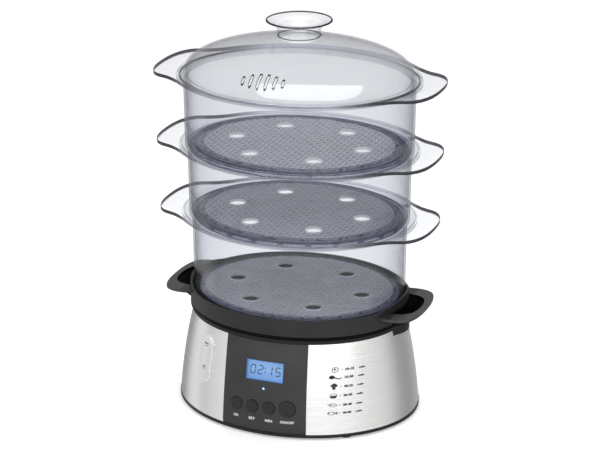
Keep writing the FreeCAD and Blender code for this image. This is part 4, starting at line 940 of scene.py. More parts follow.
class Sheet:
    """Print of thin raised shapes, drawn flat and then laid on the flank."""

    def __init__(self, out: float, thick: float = 0.12) -> None:
        """Start a print that stands out from the flank, thick deep."""
        self.out = out
        self.thick = thick
        self.about = (0.0, 0.0, 1.0)
        self.verts: list[Vector] = []
        self.faces: list[list[int]] = []

    def lay(self, x: float, z: float, across: float, up: float, deep: float) -> Vector:
        """Point on the flank, a way along it from (x, z).

        Args:
            x: Start across the front.
            z: Start height.
            across: Way along the flank to the right.
            up: Way up.
            deep: Height over the print's middle plane.

        Returns:
            The point.
        """
        height = z + up
        radius = FLANK.radius(height) + self.out
        spot = x
        steps = 6
        for _ in range(steps):
            slope = OVAL * spot / math.sqrt(max(1.0, radius * radius - spot * spot))
            spot += across / steps / math.sqrt(1.0 + slope * slope)
        return FLANK.front(spot, height, self.out + deep)

    def add(self, x: float, z: float, flat: Sequence[Sequence[float]],
            faces: Sequence[Sequence[int]]) -> None:
        """Lay a flat mesh on the flank at (x, z), grown about the place in self.about."""
        first = len(self.verts)
        mid_x, mid_z, grow = self.about
        x, z = mid_x + (x - mid_x) * grow, mid_z + (z - mid_z) * grow
        self.verts += [self.lay(x, z, across * grow, up * grow, deep) for across, up, deep in flat]
        self.faces += [[first + k for k in face] for face in faces]

    def outline(self, x: float, z: float, points: Sequence[Point2]) -> None:
        """Lay one filled outline at (x, z), drawn anticlockwise."""
        flat = [(a, b, deep) for deep in (self.thick / 2, -self.thick / 2) for a, b in points]
        self.add(x, z, flat, plate_faces(len(points)))

    def loop(self, x: float, z: float, points: Sequence[Point2], line: float) -> None:
        """Lay a closed line just inside an outline, drawn anticlockwise.

        Args:
            x: Place across the front.
            z: Height.
            points: The outline.
            line: Width of the line where the outline is furthest from its middle.
        """
        count, half = len(points), self.thick / 2
        mid = (sum(a for a, _ in points) / count, sum(b for _, b in points) / count)
        share = 1.0 - line / max(math.hypot(a - mid[0], b - mid[1]) for a, b in points)
        inner = [(mid[0] + (a - mid[0]) * share, mid[1] + (b - mid[1]) * share) for a, b in points]
        flat = [(a, b, h) for h in (half, -half) for ring in (points, inner) for a, b in ring]
        self.add(x, z, flat, ring_faces(count))

    def disc(self, x: float, z: float, radius: float, squash: float = 1.0, shift: Point2 = (0.0, 0.0),
             count: int = 20) -> None:
        """Lay a filled circle or ellipse."""
        self.outline(x, z, ellipse(radius, squash * radius, count, *shift))

    def words(self, text: str, x: float, z: float, height: float, width: float,
              middle: bool = True, bold: float = 0.0) -> None:
        """Lay one line of lettering.

        Args:
            text: The words.
            x: Middle or left end of the line.
            z: Middle of the line's height.
            height: Height of the capitals.
            width: Length of the line.
            middle: Whether x is the middle of the line, else its left end.
            bold: Widening of the strokes.
        """
        curve = bpy.data.curves.new("lettering", "FONT")
        curve.body = text
        curve.extrude = 0.5
        curve.resolution_u = 3
        curve.offset = bold
        holder = placed("lettering", curve)
        bpy.context.view_layer.update()
        mesh = holder.to_mesh()
        spots = [v.co.copy() for v in mesh.vertices]
        faces = [list(p.vertices) for p in mesh.polygons]
        holder.to_mesh_clear()
        bpy.data.objects.remove(holder)
        bpy.data.curves.remove(curve)
        left = min(s.x for s in spots)
        low = min(s.y for s in spots)
        wide = max(s.x for s in spots) - left
        tall = max(s.y for s in spots) - low
        shift = width / 2 if middle else 0.0
        flat = [((s.x - left) / wide * width - shift, ((s.y - low) / tall - 0.5) * height,
                 s.z * self.thick) for s in spots]
        self.add(x, z, flat, faces)

    def piece(self, name: str) -> bpy.types.Object:
        """The print as one piece."""
        return new_piece(name, self.verts, self.faces, 25.0)


@dataclass
class Panel(Assembly):
    """Timer panel with buttons, display, lamp and lettering."""

    face: float = 1.4
    display_x: float = 1.25
    display_z: float = 71.5
    display_wide: float = 40.5
    display_tall: float = 21.0
    digits: str = "0215"
    pieces: dict[str, bpy.types.Object] = field(default_factory=dict)

    LABEL_TALL = 2.9
    LABEL_BOLD = 0.035
    DIGITS_BELOW = 5.3
    DIGITS_DEEP = 3.84
    # Depths and thickness of the painted glow on the sides of the display's opening.
    LINER_TOP = 0.35
    LINER_FOOT = 1.88
    LINER_THICK = 0.35
    LABELS = (("HR", -29.6, 18.9, 5.8), ("SET", -11.1, 18.9, 7.3), ("MIN", 7.6, 18.9, 7.8),
              ("ON/OFF", 27.3, 19.1, 14.7))
    BARS = {"0": "abcdef", "1": "bc", "2": "abged", "5": "afgcd"}
    LEFTS = (0.0, 8.2, 18.4, 27.6)
    DIGIT = (6.0, 10.2, 1.15)
    DIGIT_LEAN = 0.09
    DIGITS_WIDE = 33.9
    COLON_X = 16.2
    COLON_RADIUS = 0.75
    SPOT_RADIUS = 1.05

    def build(self) -> None:
        """Copy the panel's solids and draw the display and the lettering."""
        self.pieces = copies("control_panel", "button_hour", "button_set", "button_minute",
                             "button_on_off", "indicator_lens", "lcd_window")
        self.pieces["labels"] = self.labels()
        self.pieces["digits"] = self.readout()
        self.pieces["liner"] = self.liner()
        self.pieces["lamp_spot"] = self.lamp_spot()

    def lamp_spot(self) -> bpy.types.Object:
        """Bright middle of the pilot lamp, just above its lens."""
        spots = [PANEL.reads(vert.co / MM) for vert in self.pieces["indicator_lens"].data.vertices]
        xs = [vert.co.x / MM for vert in self.pieces["indicator_lens"].data.vertices]
        x, top = (min(xs) + max(xs)) / 2, max(n for _, n in spots)
        u = sum(u for u, n in spots if n > top - 0.3) / sum(1 for _, n in spots if n > top - 0.3)
        spot = ellipse(self.SPOT_RADIUS, self.SPOT_RADIUS, 20, x, u)
        return plates("lamp_spot", [[[PANEL.at(a, b, top + deep) for a, b in spot]
                                     for deep in (0.05, -0.03)]])

    def labels(self) -> bpy.types.Object:
        """White words under the buttons."""
        sheet = Sheet(self.face + 0.02)
        for text, x, z, width in self.LABELS:
            sheet.words(text, x, z, self.LABEL_TALL, width, bold=self.LABEL_BOLD)
        return sheet.piece("panel_labels")

    def readout(self) -> bpy.types.Object:
        """Four dark digits and a colon on the display."""
        u, n = PANEL.reads(FLANK.front(self.display_x, self.display_z, self.face))
        low, deep = u - self.DIGITS_BELOW, n - self.DIGITS_DEEP
        tall, lean = self.DIGIT[1], self.DIGIT_LEAN
        left = self.display_x - 0.8 - self.DIGITS_WIDE / 2
        shapes: list[list[Point2]] = []
        for digit, start in zip(self.digits, self.LEFTS):
            for name in self.BARS[digit]:
                shapes.append([(start + x, y) for x, y in bar_outline(name, *self.DIGIT)])
        shapes += [ellipse(self.COLON_RADIUS, self.COLON_RADIUS, 12, self.COLON_X, tall * height)
                   for height in (0.3, 0.7)]
        return plates("display_digits", [[[PANEL.at(left + x + lean * y, low + y, deep + side)
                                           for x, y in shape] for side in (0.04, -0.04)]
                                         for shape in shapes])

    def liner(self) -> bpy.types.Object:
        """Glowing frame on the inner sides of the display's opening: painted light and shade, darker than
        the display.
        """
        u, n = PANEL.reads(FLANK.front(self.display_x, self.display_z, self.face))
        half_x, half_u = self.display_wide / 2 - 0.02, self.display_tall / 2 - 0.02
        verts = [PANEL.at(self.display_x + sx * (half_x - inset), u + su * (half_u - inset), depth)
                 for depth in (n - self.LINER_TOP, n - self.LINER_FOOT)
                 for inset in (0.0, self.LINER_THICK) for sx, su in SQUARE]
        return new_piece("display_liner", verts, ring_faces(4))

    def dress(self) -> None:
        """Charcoal panel, black buttons, blue display."""
        dress(self.pieces["control_panel"], Kit.CHARCOAL, "base", "control_panel",
              slot="panel_charcoal")
        for name in ("hour", "set", "minute", "on_off"):
            node = "button_" + name
            dress(self.pieces[node], Kit.BUTTON, node, node, slot="button_black")
        dress(self.pieces["indicator_lens"], Kit.LENS, "base", "indicator_lens", slot="lamp_clear")
        dress(self.pieces["lamp_spot"], Kit.LAMP, "base")
        dress(self.pieces["lcd_window"], Kit.PANE, "base", "lcd_window", slot="lcd_clear")
        dress(self.pieces["labels"], Kit.WHITE, "base")
        dress(self.pieces["digits"], Kit.SEGMENT, "base")
        # Painted light and shade on the sides of the display's opening.
        dress(self.pieces["liner"], Kit.BACKLIGHT_EDGE, "base")
        coat("lcd_module", Kit.BACKLIGHT)


def bar_outline(name: str, wide: float, tall: float, bar: float) -> list[Point2]:
    """Outline of one bar of a seven-bar digit.

    Args:
        name: Letter a to g of the bar.
        wide: Width of the digit.
        tall: Height of the digit.
        bar: Thickness of the bars.

    Returns:
        The corners, anticlockwise.
    """
    gap, half = 0.12, bar / 2
    middles = {"a": tall - half, "g": tall / 2, "d": half}
    if name in middles:
        y = middles[name]
        return [(half + gap, y), (bar + gap, y - half), (wide - bar - gap, y - half),
                (wide - half - gap, y), (wide - bar - gap, y + half), (bar + gap, y + half)]
    x = half if name in "ef" else wide - half
    low = half if name in "ce" else tall / 2
    high = tall / 2 if name in "ce" else tall - half
    return [(x, low + gap), (x + half, low + half + gap), (x + half, high - half - gap),
            (x, high - gap), (x - half, high - half - gap), (x - half, low + half + gap)]


@dataclass
class Gauge(Assembly):
    """Clear water gauge with its marks and float."""

    pieces: dict[str, bpy.types.Object] = field(default_factory=dict)

    MARKS = ((17.0, 7.0, 1.1), (14.4, 4.2, 0.7), (-8.0, 5.4, 1.0), (-10.4, 3.4, 0.7))

    def build(self) -> None:
        """Copy the window and float and draw the level marks."""
        self.pieces = copies("gauge_window", "gauge_float")
        self.pieces["marks"] = self.marks()

    def marks(self) -> bpy.types.Object:
        """Short bars on the gauge's face, each given by height, width and thickness."""
        return plates("gauge_marks", [[[GAUGE.at(sx * wide / 2, u + su * tall / 2, n) for sx, su in SQUARE]
                                       for n in (1.36, 1.46)] for u, wide, tall in self.MARKS])

    def dress(self) -> None:
        """Milky plastic, pale float and dark marks."""
        dress(self.pieces["gauge_window"], Kit.GAUGE, "base", "gauge_window", slot="gauge_clear")
        dress(self.pieces["gauge_float"], Kit.FLOAT, "gauge_float", "gauge_float", slot="float_pale")
        dress(self.pieces["marks"], Kit.INK, "base")


@dataclass
class Chart(Assembly):
    """Cooking chart printed on the steel: plain pictures, dots and minutes."""

    x: float = 71.0
    rows: tuple[float, ...] = (75.3, 67.0, 57.5, 47.9, 37.8, 29.2)
    times: tuple[str, ...] = ("10-15", "15-20", "20-25", "25-30", "35-40", "40-50")
    piece: Optional[bpy.types.Object] = None

    def build(self) -> None:
        """Draw the chart."""
        sheet = Sheet(0.08, 0.1)
        pictures = (self.egg, self.drumstick, self.sprout, self.rice, self.leaf, self.fish)
        for z, time, picture in zip(self.rows, self.times, pictures):
            sheet.about = (self.x, z, 1.3)
            picture(sheet, z)
            sheet.about = (0.0, 0.0, 1.0)
            sheet.disc(self.x + 6.4, z, 0.6, 0.9, count=10)
            sheet.words(time, self.x + 9.0, z, 2.5, 9.6, False, 0.06)
            sheet.words("min", self.x + 20.4, z, 2.0, 7.0, False, 0.05)
        self.piece = sheet.piece("cooking_chart")

    def egg(self, sheet: Sheet, z: float) -> None:
        """Egg in a ring."""
        sheet.loop(self.x, z, ellipse(2.8, 2.2, 24), 0.65)
        sheet.disc(self.x, z, 0.9, 0.9, (-0.2, 0.3))

    def drumstick(self, sheet: Sheet, z: float) -> None:
        """Drumstick."""
        sheet.disc(self.x - 1.9, z + 0.5, 2.4, 0.62)
        sheet.outline(self.x, z, [(-0.8, -0.3), (3.4, -1.4), (3.6, -0.7), (-0.4, 0.7)])
        sheet.disc(self.x + 3.8, z - 1.0, 0.8, 0.8)

    def sprout(self, sheet: Sheet, z: float) -> None:
        """Sprig with a thick stalk."""
        for x, y in ((-1.3, 0.9), (1.3, 0.9), (0.0, 1.8)):
            sheet.disc(self.x + x, z + y, 1.35, 0.8)
        sheet.outline(self.x, z, [(-0.9, 0.4), (-1.5, -2.2), (1.5, -2.2), (0.9, 0.4)])

    def rice(self, sheet: Sheet, z: float) -> None:
        """Bowl heaped with rice."""
        sheet.outline(self.x, z, [(-3.4, 0.0), (-1.9, -1.9), (1.9, -1.9), (3.4, 0.0)])
        sheet.loop(self.x, z, ellipse(2.9, 1.6, 24, 0.0, 0.3)[:13], 0.7)

    def leaf(self, sheet: Sheet, z: float) -> None:
        """Leaf with a stalk."""
        shape = [(-3.6, 0.6), (-1.4, -1.4), (1.6, -1.5), (3.8, -0.2), (1.8, 1.4), (-1.0, 1.6)]
        sheet.loop(self.x, z, shape, 0.75)
        sheet.outline(self.x, z, [(-4.4, 1.1), (-4.2, 0.6), (2.0, -0.3), (2.0, 0.1)])

    def fish(self, sheet: Sheet, z: float) -> None:
        """Fish."""
        sheet.loop(self.x - 0.9, z, ellipse(3.1, 1.45, 24), 0.8)
        sheet.outline(self.x, z, [(1.9, 0.0), (4.2, -1.4), (3.6, 0.0), (4.2, 1.4)])
        sheet.disc(self.x - 2.5, z + 0.3, 0.4)

    def dress(self) -> None:
        """Black ink."""
        dress(self.piece, Kit.INK, "base")


@dataclass
class Tray(Assembly):
    """Drip tray with its scoops, and the steam ring below it."""

    ledge: float = 124.0
    groove: float = 110.6
    wall: float = 118.3
    collar_half: float = 46.0
    collar_fall: float = 0.55
    scoop_half: float = 30.6
    scoop_out: float = 18.6
    # lip_depth bounds the painted highlight on the scoop lips.
    lip_depth: float = 2.6
    pieces: dict[str, bpy.types.Object] = field(default_factory=dict)

    def build(self) -> None:
        """Copy the solids, lower the collars towards their ends and part off the groove band, which takes
        painted shade.
        """
        self.pieces = copies("drip_tray", "rim_front", "rim_rear", "collar_left", "collar_right",
                             "steam_ring")
        for side in ("collar_left", "collar_right"):
            for vert in self.pieces[side].data.vertices:
                over = vert.co.z - self.ledge * MM
                if over > 0.0:
                    fall = min(1.0, abs(vert.co.y) / (self.collar_half * MM)) ** 1.5
                    vert.co.z -= over * self.collar_fall * fall
        self.sliced(self.pieces["drip_tray"], self.groove)

    def sliced(self, piece: bpy.types.Object, z: float) -> None:
        """Cut the faces of a piece at a height, in millimetres."""
        with editing(piece.data) as work:
            bmesh.ops.bisect_plane(work, geom=[*work.verts, *work.edges, *work.faces],
                                   plane_co=(0.0, 0.0, z * MM), plane_no=(0.0, 0.0, 1.0))

    def in_scoop(self, x: float, y: float, z: float) -> bool:
        """Whether a place lies inside a scoop or in the groove under the tray's wall, where painted shade
        goes.
        """
        outside = oval_reach(x, y) > self.wall - 0.2
        scooped = abs(y) < self.scoop_half and abs(x) < self.wall + self.scoop_out and z < self.ledge + 0.1
        return outside and (z < self.groove + 0.01 or scooped)

    def dress(self) -> None:
        """Satin black, with a painted highlight on the scoop lips and painted shade in the scoop hollows and
        the groove.
        """
        for node, piece in self.pieces.items():
            body = "steam_ring" if node == "steam_ring" else "drip_tray"
            slot = "steam_ring_black" if node == "steam_ring" else "tray_black"
            dress(piece, Kit.TRAY, body, node, slot=slot)
        # Painted highlight on the top faces of the scoop lips.
        edged(self.pieces["drip_tray"], Kit.LIP,
              lambda x, y, z: z > self.ledge - self.lip_depth and oval_reach(x, y) > self.wall + 0.3)
        # Painted shade in the scoop hollows and the groove.
        edged(self.pieces["drip_tray"], Kit.PIT, self.in_scoop)


@dataclass(frozen=True)
class Reach:
    """Plan outline of a flange with a handle at each end."""

    flange: float
    points: tuple[Point2, ...] = (
        (-26.0, 66.6), (-18.5, 60.8), (-12.0, 56.4), (-5.5, 53.4), (1.0, 51.0), (7.0, 47.0),
        (12.0, 40.5), (16.3, 30.0), (18.8, 16.0), (19.5, 0.0), (18.8, -16.0), (16.3, -30.0))

    def table(self) -> list[Point2]:
        """Angle and radius along the handle, before the squeeze to the oval."""
        share = self.flange / WIDEST
        line = smooth_through([(self.flange + x * share, y * share) for x, y in self.points])
        polar = [(math.atan2(y / OVAL, x), oval_reach(x, y)) for x, y in line]
        return sorted(spot for spot in polar if spot[0] >= -0.001)

    def rim(self) -> Callable[[float], float]:
        """Function that gives the rim's radius at an angle."""
        table = self.table()

        def radius(angle: float) -> float:
            """Radius at an angle."""
            turn = abs(math.remainder(angle, math.pi))
            if turn >= table[-1][0]:
                return self.flange
            for (a, ra), (b, rb) in zip(table, table[1:]):
                if a <= turn <= b:
                    share = (turn - a) / max(1e-9, b - a)
                    return max(self.flange, ra + (rb - ra) * share)
            return max(self.flange, table[0][1])

        return radius


def handle_angles() -> list[float]:
    """Angles that are close together at both handles."""
    fine, coarse, handle = 56, 30, 42.0
    first = [math.radians(handle) * k / fine for k in range(fine)]
    first += [math.radians(handle + (90.0 - handle) * k / coarse) for k in range(coarse)]
    quarter = first + [math.pi / 2] + [math.pi - a for a in reversed(first[1:])]
    return quarter + [math.pi + a for a in quarter]


@dataclass
class Bowl(Assembly):
    """Clear oval bowl with two handles."""

    node: str
    z0: float
    z1: float
    seat: float
    recess: float
    flange: float
    mouth: float
    rib: bool = True
    piece: Optional[bpy.types.Object] = None

    WALL = 2.0
    LIP_DROP = 3.8
    SPIGOT_DROP = 3.0
    RIB_OUT = 113.4
    RIB_IN = 112.0
    RIB_TOP = 4.2
    LEDGE_IN = 102.5
    # EDGE_DEEP: how far in from the rim the painted shade reaches.
    EDGE_DEEP = 0.7
    DRAINS = 24
    DRAIN_HALF_LONG = 3.0
    DRAIN_HALF_WIDE = 0.8

    def drain_ring(self) -> float:
        """Radius of the ring of drains in the ledge."""
        return (self.RIB_OUT + self.mouth - 2.8) / 2

    def profile(self) -> list[Corner]:
        """Corners of the bowl's section, with the rim following the handles."""
        top, deep = self.seat + 1.0, self.z1 - 4.5
        spigot = self.mouth - 0.8
        lip, under = self.z1 - self.LIP_DROP, self.z0 - self.SPIGOT_DROP
        level, crest = self.z0 + self.WALL, self.z0 + self.RIB_TOP
        table: list[tuple] = [
            (self.seat, self.z0, 0.6), (top, deep - self.WALL, 1.2),
            (self.recess + self.WALL, deep - self.WALL, 1.0),
            (self.recess + self.WALL, self.z1 - self.WALL, 0.5),
            (-self.WALL, self.z1 - self.WALL, 0.4, True), (-self.WALL, lip, 0.3, True),
            (0.0, lip, 0.5, True), (0.0, self.z1, 0.8, True),
            (self.recess, self.z1, 0.7), (self.recess, deep, 0.5),
            (top - self.WALL, deep, 0.8), (self.seat - self.WALL, level, 1.0),
        ]
        if self.rib:
            table += [(self.RIB_OUT, level, 0.3), (self.RIB_OUT, crest, 0.5),
                      (self.RIB_IN, crest, 0.5), (self.RIB_IN, level, 0.3)]
        table += [(self.LEDGE_IN, level, 0.5), (self.LEDGE_IN, self.z0, 0.5),
                  (spigot - self.WALL, self.z0, 0.3), (spigot - self.WALL, under, 0.5),
                  (spigot, under, 0.6), (spigot, self.z0, 0.3)]
        return corners_of(table)

    def build(self) -> None:
        """Turn the bowl and cut the drains in its ledge."""
        rim = Reach(self.flange).rim()
        self.piece = turned(self.node + "_shape", self.profile(), handle_angles(), rim=rim,
                            nominal=self.flange)
        if self.rib:
            carved(self.piece, [self.drains()])

    def drains(self) -> bpy.types.Object:
        """One cutter for all drain slots, square to the oval."""
        slots = []
        radius = self.drain_ring()
        for k in range(self.DRAINS):
            turn = math.tau * (k + 0.5) / self.DRAINS
            middle = Vector((radius * math.cos(turn), OVAL * radius * math.sin(turn), self.z0))
            along = Vector((-math.sin(turn), OVAL * math.cos(turn), 0.0)).normalized()
            side = Vector((along.y, -along.x, 0.0))
            slots.append([[middle + along * (self.DRAIN_HALF_LONG * a) + side * (self.DRAIN_HALF_WIDE * b)
                           + Vector((0.0, 0.0, lift)) for a, b in SQUARE] for lift in (-1.0, 3.0)])
        return plates("cut_drains", slots)

    def dress(self) -> None:
        """Smoky clear plastic, with its own finish for tabs, painted shade on the rim edge and the ledge,
        and a painted highlight on the sides of the drains.
        """
        flange = self.node.replace("bowl", "flange")
        dress(self.piece, Kit.SMOKE, self.node, self.node, flange, slot="clear_smoke")
        rim, lip = Reach(self.flange).rim(), self.z1 - self.LIP_DROP - 0.2
        edged(self.piece, Kit.TAB, lambda x, y, z: z > lip and oval_reach(x, y) > self.recess + 0.5)
        # Painted shade on the bowl's outer rim edge.
        edged(self.piece, Kit.RIM, lambda x, y, z: z > lip
              and oval_reach(x, y) > rim(math.atan2(y / OVAL, x)) - self.EDGE_DEEP)
        # Painted shade on the ledge inside the seat.
        edged(self.piece, Kit.LEDGE, lambda x, y, z: z < self.z0 + self.RIB_TOP + 0.3
              and oval_reach(x, y) < self.seat - 1.0)
        if self.rib:
            # Painted highlight on the sides of the drain slots.
            edged(self.piece, Kit.DRAIN, lambda x, y, z: self.z0 - 0.1 < z < self.z0 + self.WALL + 0.1
                  and abs(oval_reach(x, y) - self.drain_ring()) < self.DRAIN_HALF_WIDE + 0.25)


@dataclass
class Lattice:
    """Pattern of slanting slots in a lift-out floor."""

    pitch: float = 5.6
    reach: float = 101.0
    across: int = 37
    egg_ring: float = 70.0
    egg_clear: float = 12.6
    thick: float = 2.0
    slot_long: float = 2.55
    slot_wide: float = 0.8
    slot_tip: float = 0.35

    def tile(self) -> bpy.types.Object:
        """One square with a slanting slot, open round its edge."""
        half, long, slim, tip = self.pitch / 2, self.slot_long, self.slot_wide, self.slot_tip
        ring = [(1, 0), (1, 1), (0, 1), (-1, 1), (-1, 0), (-1, -1), (0, -1), (1, -1)]
        outer = [(a * half, b * half) for a, b in ring]
        slot = [(long - 0.6, -slim), (long, -tip), (long, tip), (long - 0.6, slim),
                (0.6 - long, slim), (-long, tip), (-long, -tip), (0.6 - long, -slim)]
        turn = math.sqrt(0.5)
        inner = [((a - b) * turn, (a + b) * turn) for a, b in slot]
        verts = [(x, y, z) for z in (self.thick, 0.0) for x, y in outer]
        verts += [(x, y, z) for z in (self.thick + 0.45, 0.25) for x, y in inner]
        pairs = ((0, 1, 9, 8), (1, 10, 9), (1, 2, 11, 10), (2, 3, 11), (3, 12, 11), (3, 4, 12),
                 (4, 5, 13, 12), (5, 14, 13), (5, 6, 15, 14), (6, 7, 15), (7, 8, 15), (7, 0, 8))
        faces = [[k if k < 8 else k + 8 for k in face] for face in pairs]
        faces += [[k + 8 if k < 8 else k + 16 for k in reversed(face)] for face in pairs]
        faces += [[16 + k, 16 + (k + 1) % 8, 24 + (k + 1) % 8, 24 + k] for k in range(8)]
        return new_piece("lattice_tile", verts, faces, 30.0, False)

    def tree(self) -> bpy.types.NodeTree:
        """Node tree that lays the tiles inside the oval and clear of the egg holes."""
        tree = bpy.data.node_groups.new("floor_lattice", "GeometryNodeTree")
        tree.interface.new_socket(name="Geometry", in_out="OUTPUT", socket_type="NodeSocketGeometry")
        for name, kind in (("Tile", "Object"), ("Pitch", "Float"), ("Across", "Int"),
                           ("Reach", "Float"), ("Oval", "Float"), ("Egg Ring", "Float"),
                           ("Egg Clear", "Float"), ("Material", "Material")):
            tree.interface.new_socket(name=name, in_out="INPUT", socket_type="NodeSocket" + kind)
        given = tree.nodes.new("NodeGroupInput").outputs
        out = tree.nodes.new("NodeGroupOutput")
        node, maths = partial(add_node, tree), partial(add_maths, tree)
        size = maths("MULTIPLY", given["Pitch"], maths("SUBTRACT", given["Across"], 1.0))
        grid = node("GeometryNodeMeshGrid", {"Size X": size, "Size Y": size,
                                             "Vertices X": given["Across"],
                                             "Vertices Y": given["Across"]})
        spot = node("GeometryNodeInputPosition").outputs[0]
        parts = node("ShaderNodeSeparateXYZ", {0: spot}).outputs
        x = maths("DIVIDE", parts["X"], given["Reach"])
        y = maths("DIVIDE", parts["Y"], maths("MULTIPLY", given["Reach"], given["Oval"]))
        far = maths("GREATER_THAN", maths("ADD", maths("MULTIPLY", x, x), maths("MULTIPLY", y, y)), 1.0)
        circle = node("GeometryNodeMeshCircle", {"Vertices": 6, "Radius": given["Egg Ring"]})
        stretch = node("ShaderNodeCombineXYZ", {"X": 1.0, "Y": given["Oval"], "Z": 1.0})
        eggs = node("GeometryNodeTransform", {"Geometry": circle.outputs[0], "Scale": stretch.outputs[0]})
        near = node("GeometryNodeProximity", {0: eggs.outputs[0]}, target_element="POINTS")
        close = maths("LESS_THAN", near.outputs["Distance"], given["Egg Clear"])
        kept = node("GeometryNodeDeleteGeometry",
                    {"Geometry": grid.outputs["Mesh"], "Selection": maths("MAXIMUM", far, close)})
        step = maths("ROUND", maths("DIVIDE", maths("ADD", parts["X"], parts["Y"]), given["Pitch"]), 0.0)
        turn = maths("MULTIPLY", maths("FLOORED_MODULO", step, 2.0), math.pi / 2)
        spin = node("ShaderNodeCombineXYZ", {"Z": turn})
        tile = node("GeometryNodeObjectInfo", {"Object": given["Tile"]})
        laid = node("GeometryNodeInstanceOnPoints",
                    {"Points": kept.outputs[0], "Instance": tile.outputs["Geometry"],
                     "Rotation": spin.outputs[0]})
        real = node("GeometryNodeRealizeInstances", {"Geometry": laid.outputs[0]})
        merged = node("GeometryNodeMergeByDistance", {"Geometry": real.outputs[0], "Distance": 1e-5})
        done = node("GeometryNodeSetMaterial",
                    {"Geometry": merged.outputs[0], "Material": given["Material"]})
        tree.links.new(done.outputs[0], out.inputs[0])
        return tree

    def mesh(self) -> bpy.types.Mesh:
        """The laid lattice as plain mesh with its outer edge closed."""
        tile = self.tile()
        holder = placed("lattice", bpy.data.meshes.new("lattice"))
        nodes = holder.modifiers.new("lattice", "NODES")
        nodes.node_group = self.tree()
        values = {"Tile": tile, "Pitch": self.pitch * MM, "Across": self.across,
                  "Reach": self.reach * MM, "Oval": OVAL, "Egg Ring": self.egg_ring * MM,
                  "Egg Clear": self.egg_clear * MM, "Material": Kit.GRID.value.made()}
        for item in nodes.node_group.interface.items_tree:
            if item.in_out == "INPUT":
                nodes[item.identifier] = values[item.name]
        bpy.context.view_layer.update()
        graph = bpy.context.evaluated_depsgraph_get()
        mesh = bpy.data.meshes.new_from_object(holder.evaluated_get(graph))
        bpy.data.objects.remove(holder)
        bpy.data.objects.remove(tile)
        self.close(mesh)
        return mesh

    def close(self, mesh: bpy.types.Mesh) -> None:
        """Wall up the open edge between the lattice's two faces."""
        middle = self.thick * MM / 2
        with editing(mesh) as work:
            low = {(round(vert.co.x, 5), round(vert.co.y, 5)): vert
                   for vert in work.verts if vert.co.z <= middle}
            for edge in [e for e in work.edges if e.is_boundary and e.verts[0].co.z > middle]:
                a, b = edge.verts
                if edge.link_loops[0].vert != a:
                    a, b = b, a
                low_a, low_b = (low.get((round(v.co.x, 5), round(v.co.y, 5))) for v in (a, b))
                if low_a and low_b:
                    work.faces.new((b, a, low_a, low_b))


@dataclass
class Floor(Assembly):
    """Lift-out floor: lattice, rim, bead and egg collars."""

    node: str
    z: float
    lattice: bpy.types.Mesh
    piece: Optional[bpy.types.Object] = None

    BEAD_IN = 101.2
    RIM = ((108.5, 0.0, 0.4), (108.5, 3.0, 0.5), (106.9, 3.0, 0.5), (106.9, 1.95), (103.0, 1.95),
           (103.0, 3.0, 0.5), (101.4, 3.0, 0.5), (101.4, 1.9), (95.8, 1.9, 0.2), (95.8, 0.1, 0.2))
    EGG = ((9.0, 0.0, 0.3), (15.6, 0.15, 0.2), (15.6, 1.85, 0.2), (10.6, 1.85), (10.6, 3.0, 0.5),
           (9.0, 3.0, 0.5))

    def build(self) -> None:
        """Join the lattice with its rings."""
        work = bmesh.new()
        work.from_mesh(self.lattice)
        rings = [turned("ring_rim", corners_of(self.RIM), even_angles(180))]
        rings += [self.egg(turn) for turn in even_angles(6)]
        for ring in rings:
            work.from_mesh(ring.data)
            mesh = ring.data
            bpy.data.objects.remove(ring)
            bpy.data.meshes.remove(mesh)
        for vert in work.verts:
            vert.co.z += self.z * MM
        mesh = bpy.data.meshes.new(self.node + "_shape")
        work.to_mesh(mesh)
        work.free()
        self.piece = placed(mesh.name, mesh)
        smoothed(mesh, 28.0)

    def egg(self, turn: float) -> bpy.types.Object:
        """Collar and plate round one egg hole."""
        ring = turned("ring_egg", corners_of(self.EGG), even_angles(36), 1.0)
        reach = Lattice.egg_ring
        shift = Vector((reach * math.cos(turn), OVAL * reach * math.sin(turn), 0.0)) * MM
        ring.data.transform(Matrix.Translation(shift))
        return ring

    def dress(self) -> None:
        """Smoky grey, lighter on the lower floors as painted light against the shade of the floors above,
        with a paler bead.
        """
        # Lower floors take the lighter copies as painted light.
        finish = {"floor_1": Kit.GRID_1, "floor_2": Kit.GRID_2}.get(self.node, Kit.GRID)
        dress(self.piece, finish, self.node, self.node, slot="floor_grey")
        edged(self.piece, Kit.BEAD, lambda x, y, z: oval_reach(x, y) > self.BEAD_IN)


